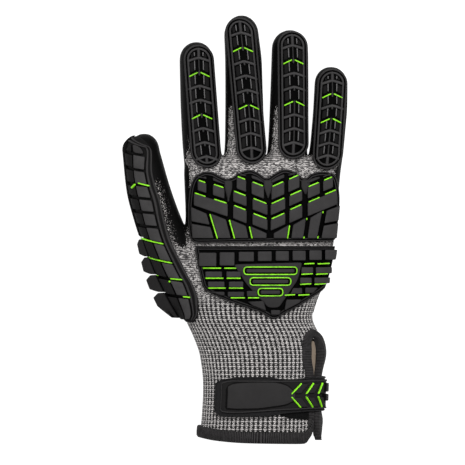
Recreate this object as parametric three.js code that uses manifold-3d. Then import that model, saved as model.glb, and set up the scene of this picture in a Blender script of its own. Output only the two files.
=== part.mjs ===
// Impact glove for a right hand, lying palm down: a seamless knitted shell, a dipped
// palm coating, moulded rubber guards on the back and a wrist strap over a side slit.
// Millimetres. +X to the little finger, +Y to the fingertips, +Z up from the surface.
import * as THREE from 'three';
import { mergeVertices } from 'three/addons/utils/BufferGeometryUtils.js';
import Module from 'manifold-3d';

const wasm = await Module();
wasm.setup();

// Layers, as distances outward from the knitted surface
const knitWall = 1.2;
const layerGap = 0.3;
const coatingWall = 0.8;
const coatingReach = layerGap + coatingWall;
const bindingWall = 0.9;
const bindingReach = layerGap + bindingWall;
const guardSeat = coatingReach + layerGap + 0.15;
const backGuardSeat = 0.6;
const strapSeat = bindingReach + layerGap;
const strapWall = 1.0;
const padSeat = strapSeat + strapWall + layerGap;

// Shape of the cross-sections: rounded boxes, sunk a little so the underside is flat
const palmRoundness = 2.9;
const cuffRoundness = 2.5;
const fingerRoundness = 2.25;
const undersideSink = 1.4;
const palmBase = coatingReach;

// Cuff
const hemY = -131.4;
const hemBand = 7.6;
const slitAngle = 58;
const slitTopY = -67;
const slitHalfWidth = 1.9;
const slitBand = 6;

// Hand and cuff: the knitted surface seen from above, a row for each section
const hand = {
  sides: 20,
  rows: [
    { y: 46.2, left: -30.2, right: 65.4, top: 15, base: palmBase, round: palmRoundness },
    { y: 43, left: -30.2, right: 65.4, top: 23, base: palmBase, round: palmRoundness },
    { y: 36, left: -30.4, right: 65, top: 26.8, base: palmBase, round: palmRoundness },
    { y: 26, left: -30, right: 64, top: 28.6, base: palmBase, round: palmRoundness },
    { y: 8, left: -29.4, right: 62.4, top: 30.2, base: palmBase, round: palmRoundness },
    { y: -12, left: -32, right: 60, top: 31, base: palmBase, round: palmRoundness },
    { y: -32, left: -34.2, right: 55.4, top: 31.5, base: palmBase, round: palmRoundness },
    { y: -46, left: -32.6, right: 50, top: 31.5, base: palmBase, round: palmRoundness },
    { y: -54, left: -31, right: 48.4, top: 31.5, base: 1.8, round: cuffRoundness },
    { y: -67, left: -25.4, right: 53.4, top: 31.5, base: 2.7, round: cuffRoundness },
    { y: -78, left: -21.6, right: 54.6, top: 31.5, base: 2.7, round: cuffRoundness },
    { y: -97, left: -19.6, right: 53.6, top: 32, base: 2.7, round: cuffRoundness },
    { y: hemY, left: -21.6, right: 52.8, top: 33, base: 2.7, round: cuffRoundness },
  ],
};

// Fingers and thumb: outline with the coating on, a row for each section, root to tip
const digits = {
  index: {
    tipLength: 9.5,
    rows: [
      { y: 30, left: -29.9, right: -6.5, top: 24.4 },
      { y: 44, left: -31.3, right: -7.6, top: 23.5 },
      { y: 56, left: -32.3, right: -9.2, top: 22 },
      { y: 77, left: -33.3, right: -10.9, top: 20.5 },
      { y: 106.4, left: -34, right: -13.3, top: 18.5 },
    ],
  },
  middle: {
    tipLength: 11,
    rows: [
      { y: 30, left: -6.7, right: 20, top: 25 },
      { y: 44, left: -6.3, right: 19.3, top: 24 },
      { y: 56, left: -5.7, right: 18.4, top: 22.5 },
      { y: 87, left: -5.8, right: 17.1, top: 20.5 },
      { y: 121.7, left: -6.3, right: 14.7, top: 18.5 },
    ],
  },
  ring: {
    tipLength: 10,
    rows: [
      { y: 30, left: 19.9, right: 45.5, top: 24.8 },
      { y: 44, left: 20.3, right: 45.2, top: 23.5 },
      { y: 56, left: 20.9, right: 45, top: 22.5 },
      { y: 80.5, left: 22, right: 45.6, top: 20.5 },
      { y: 113.2, left: 23.2, right: 45, top: 18.5 },
    ],
  },
  little: {
    tipLength: 9,
    rows: [
      { y: 30, left: 45.3, right: 65.2, top: 22.5 },
      { y: 44, left: 45.9, right: 66.9, top: 22.5 },
      { y: 56, left: 47, right: 68, top: 21 },
      { y: 78, left: 48.6, right: 69.6, top: 19.5 },
      { y: 91.6, left: 49.8, right: 69.9, top: 18 },
    ],
  },
  thumb: {
    tipLength: 9.4,
    // Its guard covers the outer side down to the surface that it lies on
    leftCover: guardSeat + 1.5,
    rows: [
      { y: -60, left: -28.4, right: -4, top: 26 },
      { y: -46, left: -38.6, right: -8, top: 27.5 },
      { y: -30, left: -47.4, right: -16, top: 28 },
      { y: -12, left: -54.4, right: -24.2, top: 27 },
      { y: 6, left: -60.4, right: -32.5, top: 25 },
      { y: 24, left: -65, right: -39.2, top: 23 },
      { y: 50, left: -67.8, right: -46.8, top: 19 },
    ],
  },
};
const digitSides = 12;
for (const digit of Object.values(digits)) {
  digit.sides = digitSides;
  digit.rows = digit.rows.map((row) => ({
    ...row,
    left: row.left + (digit.leftCover ?? coatingReach),
    right: row.right - coatingReach,
    base: palmBase,
    round: fingerRoundness,
  }));
}

// Where the dipped coating ends
const coatingHeight = 13;
const coatingPalmEnd = -50;
const dippedTips = [
  { left: -38, right: -6.8, from: 68 },
  { left: -6.8, right: 20, from: 74 },
  { left: 20, right: 46.3, from: 72 },
  { left: 46.3, right: 74, from: 62 },
];
// The web between thumb and index finger is dipped over the top
const dippedWeb = [
  { x: -74, y: 64 },
  { x: -42, y: 64 },
  { x: -31.6, y: 44 },
  { x: -30.6, y: 4 },
  { x: -29, y: -8 },
  { x: -35, y: -12 },
  { x: -42, y: -6 },
  { x: -74, y: -6 },
];

// Finger guards: their centre line, root to tip, and how many cells each one has
const fingerGuards = {
  index: {
    rows: 9,
    line: [{ y: 38.6, x: -17.9 }, { y: 62, x: -20.4 }, { y: 80.6, x: -21.6 }, { y: 113, x: -22.8 }],
  },
  middle: {
    rows: 10,
    line: [{ y: 41.5, x: 12.1 }, { y: 62, x: 10.8 }, { y: 80.6, x: 9 }, { y: 130.4, x: 4.4 }],
  },
  ring: {
    rows: 9,
    line: [{ y: 44.3, x: 35.6 }, { y: 62, x: 36.2 }, { y: 80.6, x: 36.2 }, { y: 121.6, x: 34.6 }],
  },
  little: {
    rows: 8,
    line: [{ y: 37.6, x: 57 }, { y: 62, x: 58.9 }, { y: 80.6, x: 60.2 }, { y: 98.6, x: 60.2 }],
  },
};
const fingerGuard = { halfWidth: 9.1, rim: 2.9, floor: 1.2, rib: 2.6, edge: 0.9, chevronDrop: 2.4 };
// Profile across a finger guard: share of the half width, and height above its seat
const guardProfile = [
  { across: 1, height: 'edge', chevron: false },
  { across: 0.84, height: 'rim', chevron: false },
  { across: 0.68, height: 'cell', chevron: true },
  { across: 0, height: 'cell', chevron: true },
];

// Thumb guard: its inner edge, root to tip
const thumbGuardEdge = [
  { y: -57, right: -25 },
  { y: -52, right: -22.4 },
  { y: -44, right: -22.6 },
  { y: -36, right: -24.9 },
  { y: -27, right: -29.6 },
  { y: -17, right: -34.6 },
  { y: -7, right: -39.2 },
  { y: 5, right: -43 },
  { y: 18, right: -46.2 },
  { y: 28, right: -49.4 },
  { y: 38, right: -51.4 },
  { y: 48, right: -51.8 },
  { y: 54, right: -54.4 },
  { y: 58.4, right: -60 },
];
const thumbGuard = { sideAngle: -84, lowHeight: 1.5, highHeight: 4, toothReach: 1.6, toothTop: -8 };
// Grooves across the thumb guard, and where it bends over the tip
const thumbTipBend = 53.5;
const thumbGrooves = [-52, -42.5, -33, -23.5, -13.5, -4.5, 3, 11, 21, 29.5, 39, 48.5];

// Knuckle guard: its outline, and its eight columns of blocks with their sloping edges
const knuckleOutline = [
  { x: -28.6, low: 2, high: 17 },
  { x: -26.4, low: -5.6, high: 29.4 },
  { x: -23, low: -8, high: 34.2 },
  { x: -17.7, low: -8, high: 36.2 },
  { x: -11, low: -8, high: 34.6 },
  { x: -4.6, low: -7.9, high: 31.8 },
  { x: 0.6, low: -7.8, high: 34.1 },
  { x: 9.7, low: -7.6, high: 37.1 },
  { x: 16, low: -7.5, high: 34.8 },
  { x: 19.9, low: -7.4, high: 32.1 },
  { x: 24.7, low: -7.4, high: 35.1 },
  { x: 31.3, low: -7.4, high: 37.6 },
  { x: 38.4, low: -7.3, high: 35.6 },
  { x: 43.3, low: -7.3, high: 31.8 },
  { x: 47.6, low: -7.2, high: 34.8 },
  { x: 54.1, low: -7.1, high: 36 },
  { x: 57.6, low: -7, high: 35.6 },
  { x: 60.4, low: -6.8, high: 34.6 },
  { x: 63.2, low: -4.6, high: 31.5 },
  { x: 65.2, low: 4, high: 22 },
];
const knuckleColumns = [
  { left: -26, right: -16.7, lineA: 30.4, lineB: 22.1, lineC: null, groove: 13.3, slope: -0.35 },
  { left: -15.5, right: -4.6, lineA: 27.2, lineB: 18.3, lineC: null, groove: 9.3, slope: -0.35 },
  { left: -2.2, right: 8.7, lineA: 32.5, lineB: 22.9, lineC: 13.8, groove: 5.3, slope: -0.35 },
  { left: 9.9, right: 21, lineA: 28.3, lineB: 18.2, lineC: 9.1, groove: 1.3, slope: -0.37 },
  { left: 22.4, right: 33.2, lineA: 28.8, lineB: 18.4, lineC: 8.9, groove: 1.3, slope: 0.42 },
  { left: 34.4, right: 43, lineA: 33.8, lineB: 23.4, lineC: 14.2, groove: 5.7, slope: 0.42 },
  { left: 45, right: 56, lineA: 28.8, lineB: 19.4, lineC: null, groove: 10, slope: 0.42 },
  { left: 57.2, right: 63.4, lineA: 33.1, lineB: 24, lineC: null, groove: 14.2, slope: 0.42 },
];
// Fanned blocks below the long groove: their dividing lines, top and bottom
const knuckleFan = [
  { topX: -26.6, topY: 11.6, lowX: -23.6 },
  { topX: -15.2, topY: 8.2, lowX: -10.9 },
  { topX: -3.1, topY: 4.3, lowX: 0 },
  { topX: 9.1, topY: 0.4, lowX: 10.5 },
  { topX: 22, topY: -3.4, lowX: 22 },
  { topX: 34, topY: 0.6, lowX: 32.8 },
  { topX: 44.9, topY: 4.6, lowX: 42.9 },
  { topX: 55.1, topY: 8.8, lowX: 51.8 },
  { topX: 63.6, topY: 12, lowX: 60.6 },
];
const knuckleFanBottom = -6.6;
const plateHeight = 1.5;
const blockHeight = 4.2;
const grooveWidth = 1.2;

// Guard on the hand's back: outline, then the blocks of its two wings, row by row
const handBackOutline = [
  { y: -10.2, left: -24, right: 62.4 },
  { y: -15, left: -23.6, right: 62.6 },
  { y: -20, left: -22.6, right: 62 },
  { y: -26, left: -21.4, right: 59.6 },
  { y: -35, left: -19.4, right: 56.4 },
  { y: -39, left: -15.4, right: 51.8 },
  { y: -44, left: -4.2, right: 44.4 },
  { y: -48, left: 8.4, right: 37.4 },
  { y: -52, left: 19, right: 28.8 },
  { y: -54.6, left: 23, right: 25.6 },
];
const handBackTopBlocks = [
  { left: -22.6, right: -11.5 },
  { left: -9, right: 0.3 },
  { left: 2.8, right: 12.4 },
  { left: 15, right: 23.4 },
  { left: 25.7, right: 33.8 },
  { left: 36.3, right: 44.3 },
  { left: 46.8, right: 54.3 },
  { left: 56.7, right: 61.4 },
];
const topBlockHigh = -12.4;
const topBlockLow = -18.4;
const handBackWings = [
  { high: -19.6, low: -23.2, leftOut: -21.6, leftSplit: -7.6, leftIn: 0.2, rightIn: 43.8, rightSplit: 50.6, rightOut: 60.6 },
  { high: -24.2, low: -29.4, leftOut: -20.6, leftSplit: -6.1, leftIn: 3.2, rightIn: 41.9, rightSplit: 49.6, rightOut: 58.8 },
  { high: -30.6, low: -35.6, leftOut: -19, leftSplit: -4.6, leftIn: 5, rightIn: 40.8, rightSplit: 48.6, rightOut: 56.6 },
  { high: -36.8, low: -41.4, leftOut: -8, leftSplit: -3.2, leftIn: 6.8, rightIn: 33.2, rightSplit: 39.2, rightOut: 46.6 },
];
const centrePlate = [
  { x: -0.5, y: -20.2 },
  { x: 42.4, y: -19.4 },
  { x: 38.4, y: -32 },
  { x: 26.8, y: -47.4 },
  { x: 20.6, y: -47.4 },
  { x: 8, y: -34 },
];
// Plain stacked bars on the centre plate
const centreBars = [
  { y: -24.4, halfWidth: 14.4 },
  { y: -30.6, halfWidth: 10.2 },
  { y: -36.8, halfWidth: 6 },
];
const barX = 21.8;
const barHalfHeight = 2.1;
const centrePlateHeight = 2.4;
const barHeight = 4.2;

// Wrist strap: its outline over the back, from its free end to the edge of the hand
const strapOutline = [
  { x: -11.4, low: -109.6, high: -95.6 },
  { x: -9.6, low: -113.4, high: -93.4 },
  { x: -6.5, low: -115.4, high: -92.2 },
  { x: 5, low: -115.6, high: -91.2 },
  { x: 18, low: -115.2, high: -90.8 },
  { x: 34, low: -113.2, high: -92.2 },
  { x: 46, low: -112.3, high: -91 },
];
const strapEndAngle = 172;
const strapSteps = 22;
const strapPanel = [
  { x: -5.4, low: -111, high: -96.8 },
  { x: 3.8, low: -111.8, high: -93.6 },
  { x: 23, low: -110.4, high: -93.4 },
  { x: 32, low: -108.8, high: -95.4 },
  { x: 34.6, low: -105.6, high: -99.6 },
];
const padBase = [
  { x: -7.4, low: -111.2, high: -95.6 },
  { x: 0, low: -111.6, high: -93.4 },
  { x: 30, low: -110.6, high: -93.4 },
  { x: 46, low: -110.8, high: -93.4 },
];
const padEndAngle = 92;
const padBaseHeight = 0.7;
const padHeight = 1.8;
// Arrow ribs of the pad: angles round the cuff of their points and of their arms' ends
const padArrows = [
  { point: 24, end: 33 },
  { point: 38, end: 48 },
  { point: 56, end: 70 },
];
const padArrow = { middle: -102.2, low: -109.2, high: -95, width: 5 };

// Loop fastener patch under the strap
const loopPatch = [
  { x: -8.5, low: -117.6, high: -93 },
  { x: 39.6, low: -117.6, high: -93 },
];

const rad = Math.PI / 180;

function lerp(a, b, share) {
  return a + (b - a) * share;
}

// A value of a table at a place between its rows
function between(rows, key, column, place) {
  const rising = rows[rows.length - 1][key] > rows[0][key];
  const sorted = rising ? rows : [...rows].reverse();
  if (place <= sorted[0][key]) return sorted[0][column];
  for (let i = 1; i < sorted.length; i++) {
    if (place > sorted[i][key]) continue;
    const low = sorted[i - 1];
    return lerp(low[column], sorted[i][column], (place - low[key]) / (sorted[i][key] - low[key]));
  }
  return sorted[sorted.length - 1][column];
}

function section(form, y) {
  const read = (column) => between(form.rows, 'y', column, y);
  const base = read('base');
  const high = (read('top') - base + undersideSink) / 2;
  return {
    x: (read('left') + read('right')) / 2,
    z: base - undersideSink + high,
    wide: (read('right') - read('left')) / 2,
    high,
    base,
    power: 2 / read('round'),
  };
}

// A point of a section: angle 0 is the top, 90 the little-finger side
function sectionPoint(cut, y, angle, offset, shrink = 1) {
  const bend = (value) => Math.sign(value) * Math.abs(value) ** cut.power;
  const x = cut.x + (cut.wide + offset) * shrink * bend(Math.sin(angle * rad));
  const z = cut.z + (cut.high + offset) * shrink * bend(Math.cos(angle * rad));
  return new THREE.Vector3(x, y, Math.max(z, cut.base - offset));
}

function surfacePoint(form, y, angle, offset) {
  return sectionPoint(section(form, y), y, angle, offset);
}

// The section angle that lies at a place seen from above, on a surface raised by offset
function angleAt(form, y, x, offset) {
  const cut = section(form, y);
  const share = THREE.MathUtils.clamp((x - cut.x) / (cut.wide + offset), -1, 1);
  return Math.asin(Math.sign(share) * Math.abs(share) ** (1 / cut.power)) / rad;
}

// Height of the hand's back above a point seen from above, and 0 beside the hand
function drape(x, y, offset) {
  const cut = section(hand, y);
  const isBeside = Math.abs(x - cut.x) > (cut.wide + offset) * 0.96 || y > hand.rows[0].y;
  if (isBeside) return 0;
  return surfacePoint(hand, y, angleAt(hand, y, x, offset), offset).z;
}

// A point of a guard on the hand's back: its place is seen from above at mid height
function backPoint(x, y, offset) {
  const cut = section(hand, y);
  const middle = backGuardSeat + plateHeight;
  const widest = (cut.wide + middle) * 0.985;
  const angle = angleAt(hand, y, THREE.MathUtils.clamp(x, cut.x - widest, cut.x + widest), middle);
  return sectionPoint(cut, y, angle, offset);
}

function solidFrom(positions, indices) {
  const geometry = new THREE.BufferGeometry();
  geometry.setAttribute('position', new THREE.Float32BufferAttribute(positions, 3));
  geometry.setIndex(indices);
  return toManifold(geometry);
}

function toManifold(geometry) {
  geometry.deleteAttribute('normal');
  geometry.deleteAttribute('uv');
  const merged = mergeVertices(geometry, 1e-4);
  return new wasm.Manifold(new wasm.Mesh({
    numProp: 3,
    vertProperties: new Float32Array(merged.attributes.position.array),
    triVerts: new Uint32Array(merged.index.array),
  }));
}

function toMesh(solid, name, color, roughness) {
  const result = solid.getMesh();
  const geometry = new THREE.BufferGeometry();
  geometry.setAttribute('position', new THREE.BufferAttribute(result.vertProperties, 3));
  geometry.setIndex(new THREE.BufferAttribute(result.triVerts, 1));
  geometry.computeVertexNormals();
  const material = new THREE.MeshStandardMaterial({ color, roughness, metalness: 0 });
  const mesh = new THREE.Mesh(geometry, material);
  mesh.name = name;
  return mesh;
}

// A closed tube through rings of points, capped at both ends
function ringSolid(rings) {
  const count = rings[0].length;
  const positions = rings.flat().flatMap((point) => [point.x, point.y, point.z]);
  const indices = [];
  for (let i = 0; i + 1 < rings.length; i++) {
    for (let j = 0; j < count; j++) {
      const a = i * count + j;
      const b = i * count + ((j + 1) % count);
      indices.push(a, b, a + count, b, b + count, a + count);
    }
  }
  const last = (rings.length - 1) * count;
  for (let j = 1; j + 1 < count; j++) {
    indices.push(0, j + 1, j);
    indices.push(last, last + j, last + j + 1);
  }
  return solidFrom(positions, indices);
}

// A plate between two grids of points, whose rows have the same ends
function plateSolid(topRows, bottomRows) {
  const columns = topRows[0].length;
  const lowColumns = bottomRows[0].length;
  const count = topRows.length;
  const positions = [...topRows.flat(), ...bottomRows.flat()].flatMap((p) => [p.x, p.y, p.z]);
  const top = (i, j) => i * columns + j;
  const low = (i, j) => count * columns + i * lowColumns + j;
  const indices = [];
  const quad = (a, b, c, d) => indices.push(a, b, c, a, c, d);
  for (let i = 0; i + 1 < count; i++) {
    for (let j = 0; j + 1 < columns; j++) quad(top(i, j), top(i, j + 1), top(i + 1, j + 1), top(i + 1, j));
    for (let j = 0; j + 1 < lowColumns; j++) quad(low(i, j), low(i + 1, j), low(i + 1, j + 1), low(i, j + 1));
    quad(top(i, 0), top(i + 1, 0), low(i + 1, 0), low(i, 0));
    quad(top(i, columns - 1), low(i, lowColumns - 1), low(i + 1, lowColumns - 1), top(i + 1, columns - 1));
  }
  for (const [i, flip] of [[0, false], [count - 1, true]]) {
    let upper = 0;
    let lower = 0;
    while (upper < columns - 1 || lower < lowColumns - 1) {
      const isUpper = (upper + 1) * (lowColumns - 1) <= (lower + 1) * (columns - 1);
      const next = isUpper ? top(i, upper + 1) : low(i, lower + 1);
      const face = [low(i, lower), next, top(i, upper)];
      indices.push(...(flip ? face.reverse() : face));
      upper += isUpper ? 1 : 0;
      lower += isUpper ? 0 : 1;
    }
  }
  return solidFrom(positions, indices);
}

// A block over an outline drawn flat; place gives each of its points where it lies
function blockSolid(outline, place) {
  const shape = new THREE.Shape(outline.map((point) => new THREE.Vector2(point.x, point.y)));
  const geometry = new THREE.ExtrudeGeometry(shape, { depth: 1, bevelEnabled: false, steps: 1 });
  const position = geometry.attributes.position;
  for (let i = 0; i < position.count; i++) {
    const point = place(position.getX(i), position.getY(i), position.getZ(i));
    position.setXYZ(i, point.x, point.y, point.z);
  }
  return toManifold(geometry);
}

function uprightSolid(outline, low, high) {
  return blockSolid(outline, (x, y, share) => new THREE.Vector3(x, y, lerp(low, high, share)));
}

function everySecond(rows) {
  return rows.map((row) => row.filter((_, j) => j % 2 === 0));
}

function boxSolid(low, high) {
  const outline = [
    { x: low.x, y: low.y },
    { x: high.x, y: low.y },
    { x: high.x, y: high.y },
    { x: low.x, y: high.y },
  ];
  return uprightSolid(outline, low.z, high.z);
}

function joined(solids) {
  return solids.reduce((whole, solid) => whole.add(solid));
}

function ring(cut, y, sides, offset, shrink) {
  const points = [];
  for (let j = 0; j < sides; j++) {
    points.push(sectionPoint(cut, y, (360 * (j + 0.5)) / sides, offset, shrink));
  }
  return points;
}

// The hand and cuff at a distance from the knitted surface, out to cuffEnd
function handSolid(offset, cuffEnd) {
  const rows = hand.rows.map((row, i) => ({
    at: row.y,
    y: i === hand.rows.length - 1 ? cuffEnd : Math.min(row.y, hand.rows[0].y + offset),
  })).reverse();
  return ringSolid(rows.map((row) => ring(section(hand, row.at), row.y, hand.sides, offset, 1)));
}

// A finger or the thumb, with its rounded tip
function digitSolid(digit, offset) {
  const tipSteps = 3;
  const rings = digit.rows.map((row) => ring(section(digit, row.y), row.y, digit.sides, offset, 1));
  const last = digit.rows[digit.rows.length - 1].y;
  const cut = section(digit, last);
  for (let step = 1; step <= tipSteps; step++) {
    const turn = (step / (tipSteps + 0.3)) * 90 * rad;
    const reach = digit.tipLength - coatingReach + offset;
    rings.push(ring(cut, last + reach * Math.sin(turn), digit.sides, offset, Math.cos(turn)));
  }
  return ringSolid(rings);
}

function gloveForm(offset, cuffEnd = hemY) {
  const solids = Object.values(digits).map((digit) => digitSolid(digit, offset));
  return joined([handSolid(offset, cuffEnd), ...solids]);
}

// A point on the cuff beside the slit: side is the distance round the cuff from the slit
function slitPoint(side, y, offset) {
  const step = 2;
  const low = surfacePoint(hand, y, slitAngle - step, 0);
  const high = surfacePoint(hand, y, slitAngle + step, 0);
  const degreesPerMillimetre = (2 * step) / low.distanceTo(high);
  return surfacePoint(hand, y, slitAngle + side * degreesPerMillimetre, offset);
}

// The slit in the side of the cuff, a wedge through the wall seen from outside
function slitCutter(depth, height) {
  const rows = [];
  for (const y of [-140, -118, -96, -78, slitTopY - 2, slitTopY]) {
    const half = y === slitTopY ? slitHalfWidth * 0.5 : slitHalfWidth;
    const corner = (side, offset) => {
      const point = slitPoint(side, Math.max(y, hemY), offset);
      return new THREE.Vector3(point.x, y, point.z);
    };
    rows.push([corner(-half, depth), corner(half, depth), corner(half, height), corner(-half, height)]);
  }
  return ringSolid(rows.reverse());
}

function makeKnitShell() {
  const cuffPast = hemY - 4;
  const shell = gloveForm(0).subtract(gloveForm(-knitWall, cuffPast));
  const knit = shell.subtract(slitCutter(-knitWall - 1.5, 1.5));
  return toMesh(knit, 'knit_shell', 0x8a8a8c, 0.9);
}

function guardClearance() {
  const margin = 0.5;
  const outline = [
    ...knuckleOutline.map((row) => ({ x: row.x - margin, y: row.low - margin })),
    ...[...knuckleOutline].reverse().map((row) => ({ x: row.x - margin, y: row.high + margin })),
  ];
  return uprightSolid(outline, 12, 60);
}

function makePalmCoating() {
  const wall = gloveForm(coatingReach).subtract(gloveForm(layerGap));
  const regions = [
    boxSolid({ x: -80, y: coatingPalmEnd, z: -5 }, { x: 80, y: 140, z: coatingHeight }),
    uprightSolid(dippedWeb, -5, 60),
  ];
  for (const tip of dippedTips) {
    regions.push(boxSolid({ x: tip.left, y: tip.from, z: -5 }, { x: tip.right, y: 140, z: 60 }));
  }
  const coating = wall.intersect(joined(regions)).subtract(guardClearance());
  return toMesh(coating, 'palm_coating', 0x1b1b1c, 0.45);
}

// A point on a finger guard: place is seen from above, height is above the guard's seat
function guardPoint(digit, x, y, height) {
  const last = digit.rows[digit.rows.length - 1].y;
  const past = Math.max(0, y - last);
  const reach = digit.tipLength - coatingReach + guardSeat + height;
  const shrink = Math.sqrt(Math.max(0.02, 1 - (past / reach) ** 2));
  const cut = section(digit, Math.min(y, last));
  const seat = guardSeat + height;
  const share = THREE.MathUtils.clamp((x - cut.x) / ((cut.wide + guardSeat + 1.5) * shrink), -0.9, 0.9);
  const angle = Math.asin(Math.sign(share) * Math.abs(share) ** (1 / cut.power)) / rad;
  const point = sectionPoint(cut, y, angle, seat, shrink);
  point.z = Math.max(point.z, drape(point.x, y, seat));
  return point;
}

function makeFingerGuard(name) {
  const digit = digits[name];
  const guard = fingerGuards[name];
  const root = guard.line[0].y;
  const tip = guard.line[guard.line.length - 1].y;
  const pitch = (tip - root) / guard.rows;
  const heights = { seat: 0, edge: fingerGuard.edge, rim: fingerGuard.rim };
  const columns = [
    ...guardProfile.map((column) => ({ ...column, across: -column.across })),
    ...guardProfile.slice(0, -1).reverse(),
  ];
  // Each cell has a rib at its root end and a recessed floor after it
  const stations = [];
  for (let i = 0; i <= guard.rows; i++) {
    const rib = root + i * pitch;
    if (i > 0) stations.push({ y: rib - pitch * 0.24, cell: fingerGuard.floor });
    stations.push({ y: rib, cell: fingerGuard.rib });
    if (i < guard.rows) stations.push({ y: rib + pitch * 0.24, cell: fingerGuard.floor });
  }
  const underside = [-1, -0.5, 0, 0.5, 1].map((across) => ({ across, height: 'seat', chevron: false }));
  const grid = (profile) => stations.map((station) => {
    const fromEnd = Math.min(station.y - root, tip - station.y);
    const round = Math.min(1, (fromEnd + 1.6) / fingerGuard.halfWidth);
    const half = fingerGuard.halfWidth * Math.sqrt(1 - (1 - round) ** 2);
    const ease = Math.min(1, fromEnd / pitch);
    return profile.map((column) => {
      const drop = column.chevron ? fingerGuard.chevronDrop * (0.4 - Math.abs(column.across)) * ease : 0;
      const y = station.y + drop;
      const x = between(guard.line, 'y', 'x', y) + column.across * half;
      const height = column.height === 'cell' ? station.cell : heights[column.height];
      return guardPoint(digit, x, y, height);
    });
  });
  return toMesh(plateSolid(grid(columns), grid(underside)), `${name}_guard`, 0x2c2b2c, 0.6);
}

function makeThumbGuard() {
  const digit = digits.thumb;
  const last = digit.rows[digit.rows.length - 1].y;
  const stations = [];
  const low = thumbGuardEdge[0].y;
  const high = thumbGuardEdge[thumbGuardEdge.length - 1].y;
  stations.push({ y: low, raised: false });
  for (let i = 0; i < thumbGrooves.length; i++) {
    const groove = thumbGrooves[i];
    const next = thumbGrooves[i + 1] ?? high;
    stations.push({ y: groove, raised: false });
    stations.push({ y: groove + 1.4, raised: true });
    stations.push({ y: next - 1.4, raised: true });
  }
  stations.splice(-1, 0, { y: thumbTipBend, raised: true });
  stations.sort((a, b) => a.y - b.y);
  stations.push({ y: high, raised: false });
  const upper = [
    { across: 0, raised: false },
    { across: 0.09, raised: true },
    { across: 0.2, raised: true },
    { across: 0.36, raised: true },
    { across: 0.43, raised: true },
    { across: 0.5, raised: false },
    { across: 0.57, raised: true },
    { across: 0.66, raised: true },
    { across: 0.8, raised: true },
    { across: 0.92, raised: true },
    { across: 1, raised: false },
  ];
  const under = [0, 0.2, 0.4, 0.6, 0.8, 1].map((across) => ({ across }));
  const grid = (columns, lift) => stations.map((station) => {
    const y = station.y;
    const past = Math.max(0, y - last);
    const reach = digit.tipLength - coatingReach + guardSeat;
    const shrink = Math.sqrt(Math.max(0.04, 1 - (past / reach) ** 2));
    const cut = section(digit, Math.min(y, last));
    const right = between(thumbGuardEdge, 'y', 'right', y);
    const share = THREE.MathUtils.clamp((right - cut.x) / ((cut.wide + guardSeat) * shrink), -0.9, 0.95);
    const rightAngle = Math.asin(Math.sign(share) * Math.abs(share) ** (1 / cut.power)) / rad;
    return columns.map((column, j) => {
      const angle = lerp(thumbGuard.sideAngle, rightAngle, column.across);
      const isTooth = station.raised && y < thumbGuard.toothTop && j === 1;
      const block = thumbGuard.highHeight + (isTooth ? thumbGuard.toothReach : 0);
      const height = station.raised && column.raised ? block : thumbGuard.lowHeight;
      const offset = guardSeat + (lift ? height : 0);
      const point = sectionPoint(cut, y, angle, offset, shrink);
      point.z = Math.max(point.z, drape(point.x, y, offset));
      return point;
    });
  });
  return toMesh(plateSolid(grid(upper, true), grid(under, false)), 'thumb_guard', 0x2c2b2c, 0.6);
}

// A raised block of a guard on the hand's back, sunk into the guard's base plate
function backBlock(outline, height) {
  const sunk = backGuardSeat + plateHeight * 0.5;
  return blockSolid(outline, (x, y, share) => backPoint(x, y, lerp(sunk, backGuardSeat + height, share)));
}

function backPlate(rows) {
  const lifted = (offset) => rows.map((row) => row.map((point) => backPoint(point.x, point.y, offset)));
  return plateSolid(lifted(backGuardSeat + plateHeight), lifted(backGuardSeat));
}

function makeKnuckleGuard() {
  const across = [1, 0.7, 0.35, 0];
  const plate = backPlate(knuckleOutline.map((row) => across.map((share) => ({
    x: row.x,
    y: lerp(row.low, row.high, share),
  }))));
  const blocks = [];
  for (const column of knuckleColumns) {
    const middle = (column.left + column.right) / 2;
    const lines = [column.lineA, column.lineB, column.lineC, column.groove].filter((line) => line !== null);
    const edge = (line, x) => line + column.slope * (x - middle);
    for (let i = 0; i + 1 < lines.length; i++) {
      blocks.push(backBlock([
        { x: column.left, y: edge(lines[i + 1] + grooveWidth, column.left) },
        { x: column.right, y: edge(lines[i + 1] + grooveWidth, column.right) },
        { x: column.right, y: edge(lines[i], column.right) },
        { x: column.left, y: edge(lines[i], column.left) },
      ], blockHeight));
    }
  }
  const gap = grooveWidth / 2;
  for (let i = 0; i + 1 < knuckleFan.length; i++) {
    const left = knuckleFan[i];
    const right = knuckleFan[i + 1];
    blocks.push(backBlock([
      { x: left.lowX + gap, y: knuckleFanBottom },
      { x: right.lowX - gap, y: knuckleFanBottom },
      { x: right.topX - gap, y: right.topY },
      { x: left.topX + gap, y: left.topY },
    ], blockHeight));
  }
  return toMesh(joined([plate, ...blocks]), 'knuckle_guard', 0x2c2b2c, 0.6);
}

function rectangle(left, right, low, high) {
  return [
    { x: left, y: low },
    { x: right, y: low },
    { x: right, y: high },
    { x: left, y: high },
  ];
}

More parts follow.
